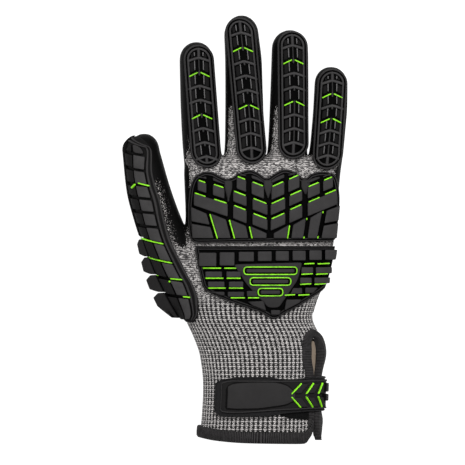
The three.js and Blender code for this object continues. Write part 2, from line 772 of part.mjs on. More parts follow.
function makeHandBackGuard() {
  const across = [1, 0.95, 0.88, 0.78, 0.6, 0.36, 0.14, 0.05, 0];
  const plate = backPlate(handBackOutline.map((row) => across.map((share) => ({
    x: lerp(row.left, row.right, share),
    y: row.y,
  }))));
  const gap = grooveWidth / 2;
  const solids = [plate, backBlock(centrePlate, centrePlateHeight)];
  for (const block of handBackTopBlocks) {
    solids.push(backBlock(rectangle(block.left, block.right, topBlockLow, topBlockHigh), blockHeight));
  }
  for (const wing of handBackWings) {
    const spans = [
      [wing.leftOut, wing.leftSplit - gap],
      [wing.leftSplit + gap, wing.leftIn],
      [wing.rightIn, wing.rightSplit - gap],
      [wing.rightSplit + gap, wing.rightOut],
    ];
    for (const [left, right] of spans) {
      solids.push(backBlock(rectangle(left, right, wing.low, wing.high), blockHeight));
    }
  }
  for (const bar of centreBars) {
    const left = barX - bar.halfWidth;
    const right = barX + bar.halfWidth;
    solids.push(backBlock(rectangle(left, right, bar.y - barHalfHeight, bar.y + barHalfHeight), barHeight));
  }
  return toMesh(joined(solids), 'hand_back_guard', 0x2c2b2c, 0.6);
}

// A band on the cuff: stations along it, each with an angle round the cuff and two edges
function cuffBand(stations, seat, wall) {
  const grid = (offset) => stations.map((station) => [1, 0.5, 0].map((share) => {
    const y = lerp(station.low, station.high, share);
    return surfacePoint(hand, y, station.angle, offset);
  }));
  return plateSolid(grid(seat + wall), everySecond(grid(seat)));
}

// Stations of a band from one angle to another; its edges follow an outline over the back
function bandStations(outline, from, to, steps, offset) {
  const stations = [];
  for (let i = 0; i <= steps; i++) {
    const angle = lerp(from, to, i / steps);
    const x = angle < 90 ? surfacePoint(hand, outline[0].low, angle, offset).x : Infinity;
    stations.push({
      angle,
      low: between(outline, 'x', 'low', x),
      high: between(outline, 'x', 'high', x),
    });
  }
  return stations;
}

function outlineAngle(point, offset) {
  return angleAt(hand, (point.low + point.high) / 2, point.x, offset);
}

function makeWristStrap() {
  const from = outlineAngle(strapOutline[0], strapSeat);
  const stations = bandStations(strapOutline, from, strapEndAngle, strapSteps, strapSeat);
  return toMesh(cuffBand(stations, strapSeat, strapWall), 'wrist_strap', 0x202022, 0.7);
}

function makeStrapPad() {
  const sunk = padBaseHeight * 0.2;
  const baseFrom = outlineAngle(padBase[0], padSeat);
  const panelFrom = outlineAngle(strapPanel[0], padSeat);
  const panelTo = outlineAngle(strapPanel[strapPanel.length - 1], padSeat);
  const base = cuffBand(bandStations(padBase, baseFrom, padEndAngle, 18, padSeat), padSeat, padBaseHeight);
  const panelStations = bandStations(strapPanel, panelFrom, panelTo, 10, padSeat);
  const panel = cuffBand(panelStations, padSeat + sunk, padHeight - sunk);
  const solids = [base, panel];
  // Arrow ribs that point to the thumb side
  for (const arrow of padArrows) {
    const outline = [
      { x: arrow.point, y: padArrow.middle },
      { x: arrow.end, y: padArrow.low },
      { x: arrow.end + padArrow.width, y: padArrow.low },
      { x: arrow.point + padArrow.width, y: padArrow.middle },
      { x: arrow.end + padArrow.width, y: padArrow.high },
      { x: arrow.end, y: padArrow.high },
    ];
    solids.push(blockSolid(outline, (angle, y, share) => (
      surfacePoint(hand, y, angle, padSeat + lerp(sunk, padHeight, share))
    )));
  }
  return toMesh(joined(solids), 'strap_pad', 0x2a292a, 0.55);
}

function makeLoopPatch() {
  const from = outlineAngle(loopPatch[0], layerGap);
  const to = outlineAngle(loopPatch[1], layerGap);
  const stations = bandStations(loopPatch, from, to, 10, layerGap);
  return toMesh(cuffBand(stations, layerGap, bindingWall), 'loop_patch', 0x111113, 0.95);
}

// A folded tape over the hem: outside, round the edge and inside
function makeHemBinding() {
  const outerEnd = hemY - coatingReach;
  const outside = gloveForm(bindingReach, outerEnd);
  const inside = gloveForm(-knitWall - bindingReach, outerEnd - 3);
  const slot = gloveForm(layerGap, hemY - layerGap).subtract(gloveForm(-knitWall - layerGap, hemY - 3));
  const band = boxSolid({ x: -60, y: outerEnd - 1, z: -10 }, { x: 80, y: outerEnd + hemBand, z: 60 });
  const tape = outside.subtract(inside).subtract(slot).intersect(band);
  return toMesh(tape.subtract(slitCutter(-8, 8)), 'hem_binding', 0x161617, 0.85);
}

// A tape round the edges of the slit, up one side and down the other
function makeSlitBinding() {
  const legEnd = hemY - coatingReach + hemBand + layerGap;
  const bend = slitTopY - slitBand;
  const stations = [];
  for (const y of [legEnd, -112, -100, -88, -78]) stations.push({ y, turn: -90 });
  for (let turn = -75; turn <= 75; turn += 25) stations.push({ y: bend, turn });
  for (const y of [-78, -88, -100, -112, legEnd]) stations.push({ y, turn: 90 });
  const inner = slitHalfWidth + 0.3;
  const grid = (offset) => stations.map((station) => {
    const legShare = Math.sin(station.turn * rad);
    const topShare = Math.cos(station.turn * rad);
    return [1, 0.75, 0.5, 0.25, 0].map((share) => {
      const reach = inner + slitBand * share;
      const side = reach * legShare;
      const y = station.y + (slitTopY + 1 - bend + slitBand * share) * topShare;
      return slitPoint(side, y, offset);
    });
  });
  const tape = plateSolid(grid(layerGap + bindingWall), everySecond(grid(layerGap)));
  return toMesh(tape, 'slit_binding', 0x161617, 0.85);
}

const glove = new THREE.Group();
glove.name = 'impact_glove';
glove.add(makeKnitShell());
glove.add(makePalmCoating());
for (const name of Object.keys(fingerGuards)) glove.add(makeFingerGuard(name));
glove.add(makeThumbGuard());
glove.add(makeKnuckleGuard());
glove.add(makeHandBackGuard());
glove.add(makeWristStrap());
glove.add(makeStrapPad());
glove.add(makeLoopPatch());
glove.add(makeHemBinding());
glove.add(makeSlitBinding());

export default glove;
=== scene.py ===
import math
from collections import namedtuple

import bmesh
import bpy
import numpy as np
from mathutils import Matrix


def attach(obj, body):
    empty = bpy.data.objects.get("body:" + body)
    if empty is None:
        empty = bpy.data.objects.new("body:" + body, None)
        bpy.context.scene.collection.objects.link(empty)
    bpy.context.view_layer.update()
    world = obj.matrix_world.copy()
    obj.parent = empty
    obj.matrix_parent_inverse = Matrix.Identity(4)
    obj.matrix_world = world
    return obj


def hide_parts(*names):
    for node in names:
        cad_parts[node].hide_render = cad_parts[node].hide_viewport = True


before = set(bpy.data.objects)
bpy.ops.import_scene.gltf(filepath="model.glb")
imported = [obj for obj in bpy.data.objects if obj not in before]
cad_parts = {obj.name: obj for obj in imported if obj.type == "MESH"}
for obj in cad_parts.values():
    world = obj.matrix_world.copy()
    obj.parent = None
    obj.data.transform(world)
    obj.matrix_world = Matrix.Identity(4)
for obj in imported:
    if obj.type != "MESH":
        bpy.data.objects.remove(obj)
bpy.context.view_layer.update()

bl_info = {
    "name": "Impact glove",
    "version": (1, 0, 0),
    "blender": (4, 5, 0),
    "location": "3D View > Sidebar > Glove",
    "description": "Dresses the impact glove's solids as knit, dipped coating and moulded guards",
    "category": "Object",
}

MM = 0.001

# Layers, in millimetres outward from the knitted surface
LAYER_GAP = 0.3
COATING_REACH = 1.1
GUARD_SEAT = 1.55
BACK_SEAT = 0.6
STRAP_SEAT = 1.5
PAD_SEAT = 2.8

# Cross-sections of the knitted surface, as (y, left, right, top, base, round)
HEM_Y = -131.4
HAND = [
    (HEM_Y, -21.6, 52.8, 33, 2.7, 2.5),
    (-97, -19.6, 53.6, 32, 2.7, 2.5),
    (-78, -21.6, 54.6, 31.5, 2.7, 2.5),
    (-67, -25.4, 53.4, 31.5, 2.7, 2.5),
    (-54, -31, 48.4, 31.5, 1.8, 2.5),
    (-46, -32.6, 50, 31.5, 1.1, 2.9),
    (-32, -34.2, 55.4, 31.5, 1.1, 2.9),
    (-12, -32, 60, 31, 1.1, 2.9),
    (8, -29.4, 62.4, 30.2, 1.1, 2.9),
    (26, -30, 64, 28.6, 1.1, 2.9),
    (36, -30.4, 65, 26.8, 1.1, 2.9),
    (42.4, -30.2, 65.4, 23, 1.1, 2.9),
    (45.2, -30.2, 65.4, 15, 1.1, 2.9),
]
# Outlines of the digits with the coating on, as (y, left, right, top)
DIGITS = {
    "index": [
        (30, -29.9, -6.5, 24.4),
        (44, -31.65, -7.55, 23.5),
        (56, -32.65, -9.15, 22),
        (77, -33.65, -10.85, 20.5),
        (106.4, -34.35, -13.25, 18.5),
    ],
    "middle": [
        (30, -6.7, 20, 25),
        (44, -6.6, 19.6, 24),
        (56, -6, 18.7, 22.5),
        (87, -5.8, 17.7, 20.5),
        (104, -5.9, 17.2, 19.5),
        (121.7, -6.5, 15.2, 18.5),
    ],
    "ring": [
        (30, 19.9, 45.5, 24.8),
        (44, 20.2, 45.35, 23.5),
        (56, 21, 45.45, 22.5),
        (80.5, 22.1, 46.15, 20.5),
        (113.2, 23.2, 45.95, 18.5),
    ],
    "little": [
        (30, 45.3, 65.2, 22.5),
        (44, 46.1, 67.3, 22.5),
        (56, 47.4, 68.6, 21),
        (78, 49.2, 70.2, 19.5),
        (91.6, 49.9, 70.4, 18),
    ],
    "thumb": [
        (-60, -28.4, -4, 26),
        (-46, -38.6, -8, 27.5),
        (-30, -47.4, -16, 28),
        (-12, -54.4, -24.2, 27),
        (6, -60.4, -32.5, 25),
        (24, -65, -39.2, 23),
        (50, -67.8, -46.8, 19),
    ],
}
TIP_LENGTHS = {"index": 11.1, "middle": 12.4, "ring": 11.7, "little": 10.4, "thumb": 10.3}
THUMB_COVER = 3.05
DIGIT_ROUND = 2.25
SINK = 1.4
FINGERS_FROM = 45

# The hem falls towards the slit, as (x, y)
HEM_LINE = [(-24, -127.4), (-12, -129.4), (6.5, -130.8), (37.5, -131.4)]

# Side slit of the cuff
SLIT_ANGLE = 59
SLIT_TOP = -67
SLIT_HALF = [(-131, 0.5), (-110, 0.5), (-96, 1.1), (-88, 1.9), (-79, 3.4), (-67, 2.2)]

# Edge of the dipped coating on the hand: the angle it reaches up the sides, its height on them
# nearer the cuff, from where that counts, and its end
SIDE_ANGLE = 64
LOW_SIDE_HEIGHT = 12
LOW_SIDE_FROM = -8
COATING_END = -52

# Edges of the dipped coating: the angle it reaches up each finger's thumb side by y, the same for
# every finger's other side, and its edge across the thumb's web as (x, y)
WEDGES = {
    "index": [(44, 49), (52, 34), (60, 30), (70, -100)],
    "middle": [(44, 62), (56, 52), (66, 50), (75, 46), (80, 20), (86, -100)],
    "ring": [(44, 60), (52, 48), (60, 43), (70, 41), (77, 36), (84, -100)],
    "little": [(44, 50), (50, 34), (60, 30), (70, -100)],
}
FAR_WEDGE = [(44, 52), (50, 36), (58, 20), (70, -100)]
WEB_EDGE = [(-46, -2), (-40, -6.8), (-33.8, -12.4), (-24.5, -9.3)]

# Finger guards: centre line as (y, x), the ribs counted from the tip, the ribs that are lime, and
# the row from which a thin spine runs to the root
FingerGuard = namedtuple("FingerGuard", "line first pitch ribs lime spine")
FINGER_GUARDS = {
    "index": FingerGuard(
        [(38.6, -16.6), (62, -19.4), (80.6, -21.1), (115.4, -22.5)], 106.9, 8.77, 8, (2, 5), 9
    ),
    "middle": FingerGuard(
        [(41, 10.9), (62, 10), (80.6, 8.5), (132.4, 2.9)], 122.5, 8.94, 9, (2, 6), 7
    ),
    "ring": FingerGuard(
        [(44, 36.2), (62, 37), (80.6, 37.2), (124, 35.7)], 114.6, 8.62, 8, (2, 5), 6
    ),
    "little": FingerGuard(
        [(37.4, 57), (62, 59.4), (80.6, 60.8), (100.6, 60.8)], 92.7, 7.75, 7, (2, 4), 5
    ),
}

# Thickness of the plate under a guard's blocks
GUARD_PLATE = 1.5

# Thumb guard: its inner edge as (y, x), and the lines between its blocks from the tip down
THUMB_EDGE = [
    (-57, -25), (-52, -22.4), (-44, -22.6), (-36, -24.9), (-27, -29.6), (-17, -34.6), (-7, -39.2),
    (5, -43), (18, -46.2), (28, -49.4), (38, -51.4), (48, -51.8), (54, -54.4), (58.4, -60),
]
ThumbLine = namedtuple("ThumbLine", "left right kind tooth")
THUMB_LINES = [
    ThumbLine(54, 54.4, "end", False),
    ThumbLine(49.4, 46.2, "groove", False),
    ThumbLine(39.6, 36.6, "groove", False),
    ThumbLine(29.4, 27.4, "chevron", False),
    ThumbLine(21.2, 19, "groove", False),
    ThumbLine(12.2, 10.4, "groove", False),
    ThumbLine(3.4, 1.6, "groove", False),
    ThumbLine(-4.6, -8.5, "lime", True),
    ThumbLine(-16.4, -20.3, "lime", True),
    ThumbLine(-28, -31.2, "hook", True),
    ThumbLine(-39.6, -41.7, "short", True),
    ThumbLine(-56.4, -56, "end", False),
]

# Knuckle guard: outline as (x, low, high), columns of blocks, the fan below the long groove, and the
# saddles between the knuckles as (left, right, low, high)
KNUCKLE_OUTLINE = [
    (-28.9, 4, 16), (-28.4, -1.4, 22), (-26.6, -6.4, 29.6), (-24.6, -8, 33),
    (-21.4, -8.2, 35.2), (-17.7, -8.2, 36.3), (-13.6, -8.1, 35.8), (-9, -8.1, 33.4),
    (-4.6, -8, 31.8), (-1.6, -7.9, 32.6), (3.4, -7.9, 35.6), (9.7, -7.7, 37.2),
    (14.6, -7.6, 35.6), (19.9, -7.5, 32.2), (24.7, -7.4, 35.1), (31.3, -7.4, 37.7),
    (37.4, -7.3, 36), (43.3, -7.3, 31.9), (47.6, -7.3, 34.9), (54.1, -7.2, 36.3),
    (60.4, -6.9, 35.2), (63.2, -5.2, 32.6), (64.8, -1.5, 27), (65.6, 4, 20),
]
Column = namedtuple("Column", "left right top_left top_right line_a line_b line_c groove slope")
KNUCKLE_COLUMNS = [
    Column(-25.2, -17.3, -22.8, -17.4, 30.4, 21.8, None, 13.2, -0.33),
    Column(-13.2, -4.2, -13.4, -6.2, 26.8, 17.8, None, 9, -0.33),
    Column(-0.9, 7.5, 1.3, 7.2, 32.5, 22.6, 13.8, 4.9, -0.385),
    Column(11.1, 20.4, 10.5, 18.2, 27.9, 17.9, 8.6, 0.8, -0.385),
    Column(22.3, 31.4, 22.8, 30.8, 28.4, 18, 8.6, 0.8, 0.45),
    Column(33.8, 41.9, 33.2, 40.2, 33.2, 23, 14.1, 5.2, 0.45),
    Column(45.2, 53.3, 45.2, 52.8, 28.2, 18.7, None, 9.4, 0.425),
    Column(55.4, 63.4, 54.8, 61, 32.4, 23.4, None, 13.4, 0.425),
]
Fan = namedtuple("Fan", "top_x top_y low_x")
KNUCKLE_FAN = [
    Fan(-27.6, 15.2, -26.7), Fan(-15.1, 11, -10.7), Fan(-3.1, 7.4, -0.1), Fan(9.3, 3.3, 10.8),
    Fan(22, -1.1, 22), Fan(34, 4, 32.8), Fan(44.7, 8.5, 42.9), Fan(54.8, 12.8, 51.5),
    Fan(66, 16.1, 64),
]
FAN_LOW = -5.1
KNUCKLE_SADDLES = [(-6.4, -1.2, 16.6, 30.8), (17.9, 23.7, 18.8, 31), (41.1, 46.9, 21, 31.2)]

# Guard on the hand's back: outline as (y, left, right), top blocks, the rows of its two wings of
# blocks with lime lines, loose blocks, and the centre plate with its bars
BACK_OUTLINE = [
    (-9.9, -23.8, 63.2), (-11.6, -24.4, 63.8), (-16, -23.7, 63.8),
    (-20.4, -22.9, 63), (-26, -21.8, 61.6), (-31, -20.6, 60),
    (-35, -19.6, 57.6), (-38.6, -15.8, 53.4), (-41.4, -9.6, 49),
    (-44, -3.8, 44.8), (-48, 7.4, 38), (-51.6, 17.4, 31),
    (-54, 21.6, 27.4), (-54.8, 23.4, 25.6),
]
TopBlock = namedtuple("TopBlock", "left right low")
TOP_BLOCKS = [
    TopBlock(-22, -11.2, -22.4), TopBlock(-9.2, 0, -22), TopBlock(2.6, 12, -19.4),
    TopBlock(14.4, 23, -19.2), TopBlock(25.4, 33.6, -19), TopBlock(35.8, 44, -18.8),
    TopBlock(46.2, 54, -18.6), TopBlock(56, 64, -18.4),
]
Wing = namedtuple("Wing", "left_y right_y left_out left_split left_in right_in right_split right_out")
WINGS = [
    Wing(-23.6, -21, -19.6, -7.3, 1.1, 43, 50.4, 59),
    Wing(-29.8, -27.4, -18, -5.9, 3.9, 41.3, 49.4, 57.9),
    Wing(-35.9, -33.6, -16.4, -4.4, 5.4, 40.5, 48.5, 56.8),
    Wing(-41.9, -40.3, -2.4, 7.4, 15.2, 31, 38.4, 46.4),
]
LOW_BLOCKS = [
    [(-14.6, -38.1), (-6.2, -38.1), (-6.2, -40.6), (-8.6, -40.4)],
    [(-4.2, -38.1), (5.9, -38.1), (5.9, -41.2), (-4.2, -41.2)],
    [(7.6, -37.6), (13.6, -37.6), (14.4, -41), (7.6, -41)],
    [(8.2, -44.2), (17.9, -43.8), (19.6, -49.9), (11.1, -46.6)],
    [(22.4, -49.4), (28.4, -49.4), (28, -52.4), (22.6, -52.4)],
    [(36.2, -35.8), (41.8, -35.8), (41.8, -39.4), (34.6, -39.4)],
    [(43.7, -35.6), (51.6, -35.6), (48.6, -39), (43.7, -39)],
    [(32, -43), (41.4, -42.8), (40.2, -45), (30.8, -49.8)],
]
CENTRE_PLATE = [(-0.6, -21.2), (42, -20), (39, -31), (27.4, -48), (20.8, -48), (7, -33)]
Bar = namedtuple("Bar", "y half")
CENTRE_BARS = [Bar(-25.2, 16.4), Bar(-31.8, 12.6), Bar(-38.4, 7.6)]
BAR_X = 22.2
BAR_HALF_HEIGHT = 2.3

# Wrist strap and its pad as seen from above, as (x, low, high), and the arrows by angle
STRAP_OUTLINE = [
    (-11.5, -108.8, -96.6), (-11, -112, -94.8), (-9, -114.4, -93), (-6.5, -115.4, -92.2),
    (5, -115.6, -91), (18, -115.2, -90.8), (34, -113.2, -92.3), (46, -112.3, -91),
]
PAD_PANEL = [
    (-4.9, -109.6, -98.6), (-4.2, -110.8, -96.4), (3.8, -111.2, -93.6), (14, -111, -93.2),
    (23, -109.9, -93.2), (31, -108.6, -95), (36.6, -106, -99.4),
]
PAD_BASE = [
    (-8.4, -109.4, -96.6), (-7, -112.6, -94), (0, -113.2, -92.7), (30, -111.4, -92.9),
    (46, -110.8, -92.8),
]
Arrow = namedtuple("Arrow", "point end")
ARROWS = [Arrow(21.5, 30.6), Arrow(38.4, 47.4), Arrow(57, 65)]
ARROW_MIDDLE = -102.2
ARROW_HALF = 7.2


class Curve:
    """A smooth line through (place, value) points that never swings past them."""

    def __init__(self, points):
        self.x, self.y = np.array(sorted(points), float).T
        steps = np.diff(self.x)
        slopes = np.diff(self.y) / steps
        self.slope = np.zeros_like(self.x)
        self.slope[0] = slopes[0]
        self.slope[-1] = slopes[-1]
        for i in range(1, len(self.x) - 1):
            before, after = slopes[i - 1], slopes[i]
            if before * after > 0:
                first = 2 * steps[i] + steps[i - 1]
                second = steps[i] + 2 * steps[i - 1]
                self.slope[i] = (first + second) / (first / before + second / after)

    def __call__(self, place):
        place = np.clip(place, self.x[0], self.x[-1])
        i = np.clip(np.searchsorted(self.x, place) - 1, 0, len(self.x) - 2)
        step = self.x[i + 1] - self.x[i]
        t = (place - self.x[i]) / step
        rise = 3 * t**2 - 2 * t**3
        start = (t**3 - 2 * t**2 + t) * step * self.slope[i]
        end = (t**3 - t**2) * step * self.slope[i + 1]
        return self.y[i] * (1 - rise) + self.y[i + 1] * rise + start + end


def edge_curves(outline):
    """Curves through both edges of an outline, whose rows are (place, edge, edge)."""
    return [Curve([(row[0], row[side]) for row in outline]) for side in (1, 2)]


def bend(value, power):
    return np.sign(value) * np.abs(value) ** power


class Form:
    """A soft tube of cross-sections along Y. Angle 0 is its top, 90 the little-finger side."""

    def __init__(self, sections, tip=0):
        columns = list(zip(*sections))
        self.curves = [Curve(zip(columns[0], column)) for column in columns[1:]]
        self.first = columns[0][0]
        self.last = columns[0][-1]
        self.tip = tip

    def cut(self, y):
        left, right, top, base, roundness = (curve(y) for curve in self.curves)
        high = (top - base + SINK) / 2
        return (left + right) / 2, base - SINK + high, (right - left) / 2, high, base, 2 / roundness

    def shrink(self, y, offset):
        """How far a section past the last row has closed towards the tip."""
        past = np.maximum(0, y - self.last)
        reach = max(self.tip + offset, 0.01)
        return np.sqrt(np.maximum(0.0004, 1 - np.minimum(1, past / reach) ** 2))

    def point(self, y, angle, offset, shrink=1.0):
        x0, z0, wide, high, base, power = self.cut(np.minimum(y, self.last))
        turn = np.radians(angle)
        x = x0 + (wide + offset) * shrink * bend(np.sin(turn), power)
        z = z0 + (high + offset) * shrink * bend(np.cos(turn), power)
        return np.array([x, y, np.maximum(z, base - offset)])

    def angle_at(self, x, y, offset, limit=0.99, shrink=1.0):
        """The angle of the section that lies at x, seen from above."""
        x0, _, wide, _, _, power = self.cut(np.minimum(y, self.last))
        share = np.clip((x - x0) / ((wide + offset) * shrink), -limit, limit)
        return np.degrees(np.arcsin(bend(share, 1 / power)))


def digit_form(name):
    left_cover = THUMB_COVER if name == "thumb" else COATING_REACH
    sections = [
        (y, left + left_cover, right - COATING_REACH, top, COATING_REACH, DIGIT_ROUND)
        for y, left, right, top in DIGITS[name]
    ]
    return Form(sections, TIP_LENGTHS[name] - COATING_REACH)


HAND_FORM = Form(HAND)
DIGIT_FORMS = {name: digit_form(name) for name in DIGITS}


def back_height(x, y, offset):
    """Height of the hand's back over a point, or 0 beside the hand and past its knuckles."""
    x0, _, wide, _, _, _ = HAND_FORM.cut(y)
    if abs(x - x0) > (wide + offset) * 0.96 or y > HAND_FORM.last:
        return 0
    return HAND_FORM.point(y, HAND_FORM.angle_at(x, y, offset), offset)[2]


def back_skin(x, y, height):
    """A place on the guards of the hand's back, height above their seat."""
    angle = HAND_FORM.angle_at(x, y, BACK_SEAT + height, 0.985)
    return HAND_FORM.point(y, angle, BACK_SEAT + height)


def finger_skin(name):
    """Places on a finger's guard, which bends round the finger and over its tip."""
    form = DIGIT_FORMS[name]

    def place(x, y, height):
        seat = GUARD_SEAT + height
        shrink = form.shrink(y, seat)
        angle = form.angle_at(x, y, seat, 0.92, shrink)
        point = form.point(y, angle, seat, shrink)
        point[2] = max(point[2], back_height(point[0], y, seat))
        return point

    return place


THUMB_ANGLE = -84
THUMB_LINE = Curve(THUMB_EDGE)


def thumb_skin(share, y, height):
    """A place on the thumb guard: share 0 is its outer side and 1 its inner edge."""
    form = DIGIT_FORMS["thumb"]
    offset = GUARD_SEAT + height
    shrink = form.shrink(y, GUARD_SEAT)
    right = form.angle_at(THUMB_LINE(y), y, GUARD_SEAT, 0.95, shrink)
    angle = THUMB_ANGLE + (right - THUMB_ANGLE) * share
    point = form.point(y, angle, offset, shrink)
    point[2] = max(point[2], back_height(point[0], y, offset))
    return point


def cuff_skin(seat):
    """Places on the cuff by the angle round it, height above a seat."""

    def place(angle, y, height):
        return HAND_FORM.point(y, angle, seat + height)

    return place


def rounded(outline, radius, steps=3):
    """A closed outline with its corners rounded."""
    points = []
    count = len(outline)
    for i in range(count):
        corner = np.array(outline[i], float)
        before = np.array(outline[i - 1], float) - corner
        after = np.array(outline[(i + 1) % count], float) - corner
        start = corner + before * min(radius / np.linalg.norm(before), 0.45)
        end = corner + after * min(radius / np.linalg.norm(after), 0.45)
        for step in range(steps + 1):
            t = step / steps
            points.append((1 - t) ** 2 * start + 2 * t * (1 - t) * corner + t**2 * end)
    return points


def dense(points, step, closed=True):
    """The same line with no stretch longer than step."""
    result = []
    last = len(points) if closed else len(points) - 1
    for i in range(last):
        start = np.array(points[i], float)
        end = np.array(points[(i + 1) % len(points)], float)
        parts = max(1, math.ceil(np.linalg.norm(end - start) / step))
        result += [start + (end - start) * k / parts for k in range(parts)]
    if not closed:
        result.append(np.array(points[-1], float))
    return result


def rectangle(left, right, low, high):
    return [(left, low), (right, low), (right, high), (left, high)]


def grid(stations, count):
    """Rows of places between two edges, from stations of (place, low, high)."""
    shares = np.linspace(0, 1, count)
    return [[(place, low + (high - low) * share) for place, low, high in stations] for share in shares]


def inset(points, distance):
    """A closed outline moved inward, when it runs anticlockwise."""
    array = np.array(points)
    along = np.roll(array, -1, axis=0) - np.roll(array, 1, axis=0)
    along /= np.linalg.norm(along, axis=1, keepdims=True) + 1e-9
    inward = np.stack([-along[:, 1], along[:, 0]], axis=1)
    return array + inward * distance


def anticlockwise(points):
    array = np.array(points, float)
    x, y = array[:, 0], array[:, 1]
    area = np.sum(x * np.roll(y, -1) - np.roll(x, -1) * y)
    return array if area > 0 else array[::-1]


def new_mesh(name, points, faces):
    """A mesh from points in millimetres."""
    mesh = bpy.data.meshes.new(name)
    mesh.from_pydata([tuple(point * MM) for point in points], [], faces)
    return mesh


class Relief:
    """Closed shapes modelled on a skin: plates, blocks and bars, drawn flat and bent to it.

    Each point has a tone for its material, which paints light and shade: 0 painted shade deep in a groove,
    1 on a block's top, 2 a painted highlight on a ridge.
    """

    def __init__(self, skin):
        self.skin = skin
        self.points = []
        self.tones = []
        self.faces = []

    def ring(self, outline, height, tone):
        start = len(self.points)
        for i, (x, y) in enumerate(outline):
            self.points.append(self.skin(x, y, height[i] if isinstance(height, list) else height))
            self.tones.append(tone)
        return list(range(start, start + len(outline)))

    def bridge(self, low, high):
        count = len(low)
        for i in range(count):
            j = (i + 1) % count
            self.faces.append((low[i], low[j], high[j], high[i]))

    def fan(self, ring, outline, height, tone, flip=False):
        centre = self.ring([np.mean(np.array(outline), axis=0)], height, tone)[0]
        count = len(ring)
        for i in range(count):
            pair = (ring[i], ring[(i + 1) % count])
            self.faces.append((pair[1], pair[0], centre) if flip else (*pair, centre))

    def block(self, outline, top, base=0.8, bevel=0.4, radius=0.7, tone=1.0, step=2.2):
        """A block with drafted sides and soft edges."""
        smooth = dense(rounded(anticlockwise(outline), radius), step)
        shoulder = inset(smooth, bevel * 0.35)
        flat = inset(smooth, bevel)
        inner = (np.array(flat) + np.mean(flat, axis=0)) / 2
        foot = inset(smooth, -0.25)
        # Tones fall down the sides to the foot: painted shade below the top
        levels = [
            (foot, base, 0),
            (smooth, top - bevel, tone * 0.1),
            (shoulder, top - bevel * 0.3, tone * 0.9),
            (flat, top, tone),
            (inner, top, tone),
        ]
        rings = [self.ring(line, height, shade) for line, height, shade in levels]
        for low, high in zip(rings, rings[1:]):
            self.bridge(low, high)
        self.fan(rings[0], foot, base, 0, flip=True)
        self.fan(rings[-1], inner, top, tone)

    def bar(self, path, half, top, base=0.6, tone=1.0, closed=False, step=1.6):
        """A rounded bar along a line, with rounded ends where it is open."""
        line = np.array(dense(path, step, closed))
        if closed:
            along = np.roll(line, -1, axis=0) - np.roll(line, 1, axis=0)
            widths = np.ones(len(line))
        else:
            first = line[1] - line[0]
            last = line[-1] - line[-2]
            first = first / np.linalg.norm(first) * half
            last = last / np.linalg.norm(last) * half
            starts = [line[0] - first * s for s in (1, 0.72)]
            ends = [line[-1] + last * s for s in (0.72, 1)]
            line = np.array([*starts, *line, *ends])
            along = np.gradient(line, axis=0)
            widths = np.ones(len(line))
            widths[[0, -1]] = 0.25
            widths[[1, -2]] = 0.7
        along /= np.linalg.norm(along, axis=1, keepdims=True) + 1e-9
        side = np.stack([along[:, 1], -along[:, 0]], axis=1)
        rise = top - base
        # Each profile step: across, height and share of the tone, painted shade down the bar's sides
        profile = [(-1, base, 0), (-0.88, base + rise * 0.72, 0.5), (-0.5, top - rise * 0.04, 1)]
        profile += [(0, top, 1)] + [(-across, height, shade) for across, height, shade in profile[::-1]]
        rings = []
        for point, across, width in zip(line, side, widths):
            drop = (1 - width) * rise * 0.5
            places = [point + across * (share * half * width) for share, _, _ in profile]
            heights = [max(base, height - drop) for _, height, _ in profile]
            rings.append(self.ring(places, heights, tone))
            self.tones[-len(profile):] = [tone * shade for _, _, shade in profile]
        pairs = list(zip(rings, rings[1:]))
        if closed:
            pairs.append((rings[-1], rings[0]))
        for near, far in pairs:
            self.bridge(near, far)
        if not closed:
            self.faces.append(tuple(reversed(rings[0])))
            self.faces.append(tuple(rings[-1]))

    def plate(self, rows, top, bottom=0.0, edge=0.5, tone=0.0):
        """A plate over a grid of places, rows of equal length, thinner along its rim."""
        last, end = len(rows) - 1, len(rows[0]) - 1
        # The top takes the tone, 0 by default, the grooves' painted shade
        upper = []
        for i, row in enumerate(rows):
            heights = [top - edge if i in (0, last) or j in (0, end) else top for j in range(end + 1)]
            upper.append(self.ring(row, heights, tone))
        lower = [self.ring(row, bottom, 0) for row in rows]
        for i in range(last):
            for j in range(end):
                self.faces.append((upper[i][j], upper[i][j + 1], upper[i + 1][j + 1], upper[i + 1][j]))
                self.faces.append((lower[i][j], lower[i + 1][j], lower[i + 1][j + 1], lower[i][j + 1]))
        self.bridge(self.rim(lower), self.rim(upper))

    def rim(self, grid):
        """The grid's outer loop."""
        sides = grid[0] + [row[-1] for row in grid[1:]]
        return sides + grid[-1][-2::-1] + [row[0] for row in grid[-2:0:-1]]

    def mesh(self, name):
        mesh = new_mesh(name, self.points, self.faces)
        set_values(mesh, "tone", self.tones)
        return mesh


def settle(mesh, sharp=50):
    """Faces out, smooth, with sharp edges past an angle."""
    work = bmesh.new()
    work.from_mesh(mesh)
    bmesh.ops.recalc_face_normals(work, faces=work.faces)
    work.to_mesh(mesh)
    work.free()
    mesh.shade_smooth()
    mesh.set_sharp_from_angle(angle=math.radians(sharp))


HEM = Curve(HEM_LINE)
SLIT = Curve(SLIT_HALF)


def corner_rise(distance):
    """How far the hem's corner rises beside the slit."""
    return np.maximum(0.0, 9 - distance) ** 2 * 0.1


def far_rise(x):
    """The same for the palm's side of the cuff, where the hem runs up in a long curve."""
    return 9 * np.clip((x - 24) / 22, 0, 1) ** 1.5


def linked(name, data):
    """A new object in the scene."""
    item = bpy.data.objects.new(name, data)
    bpy.context.scene.collection.objects.link(item)
    return item


def add_piece(mesh, node=None):
    """Puts a finished mesh in the scene as a piece that rides on the glove."""
    piece = linked(mesh.name, mesh)
    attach(piece, "root")
    if node:
        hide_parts(node)


def evaluated(piece):
    """The piece's mesh with its modifiers applied."""
    graph = bpy.context.evaluated_depsgraph_get()
    return bpy.data.meshes.new_from_object(piece.evaluated_get(graph), depsgraph=graph)


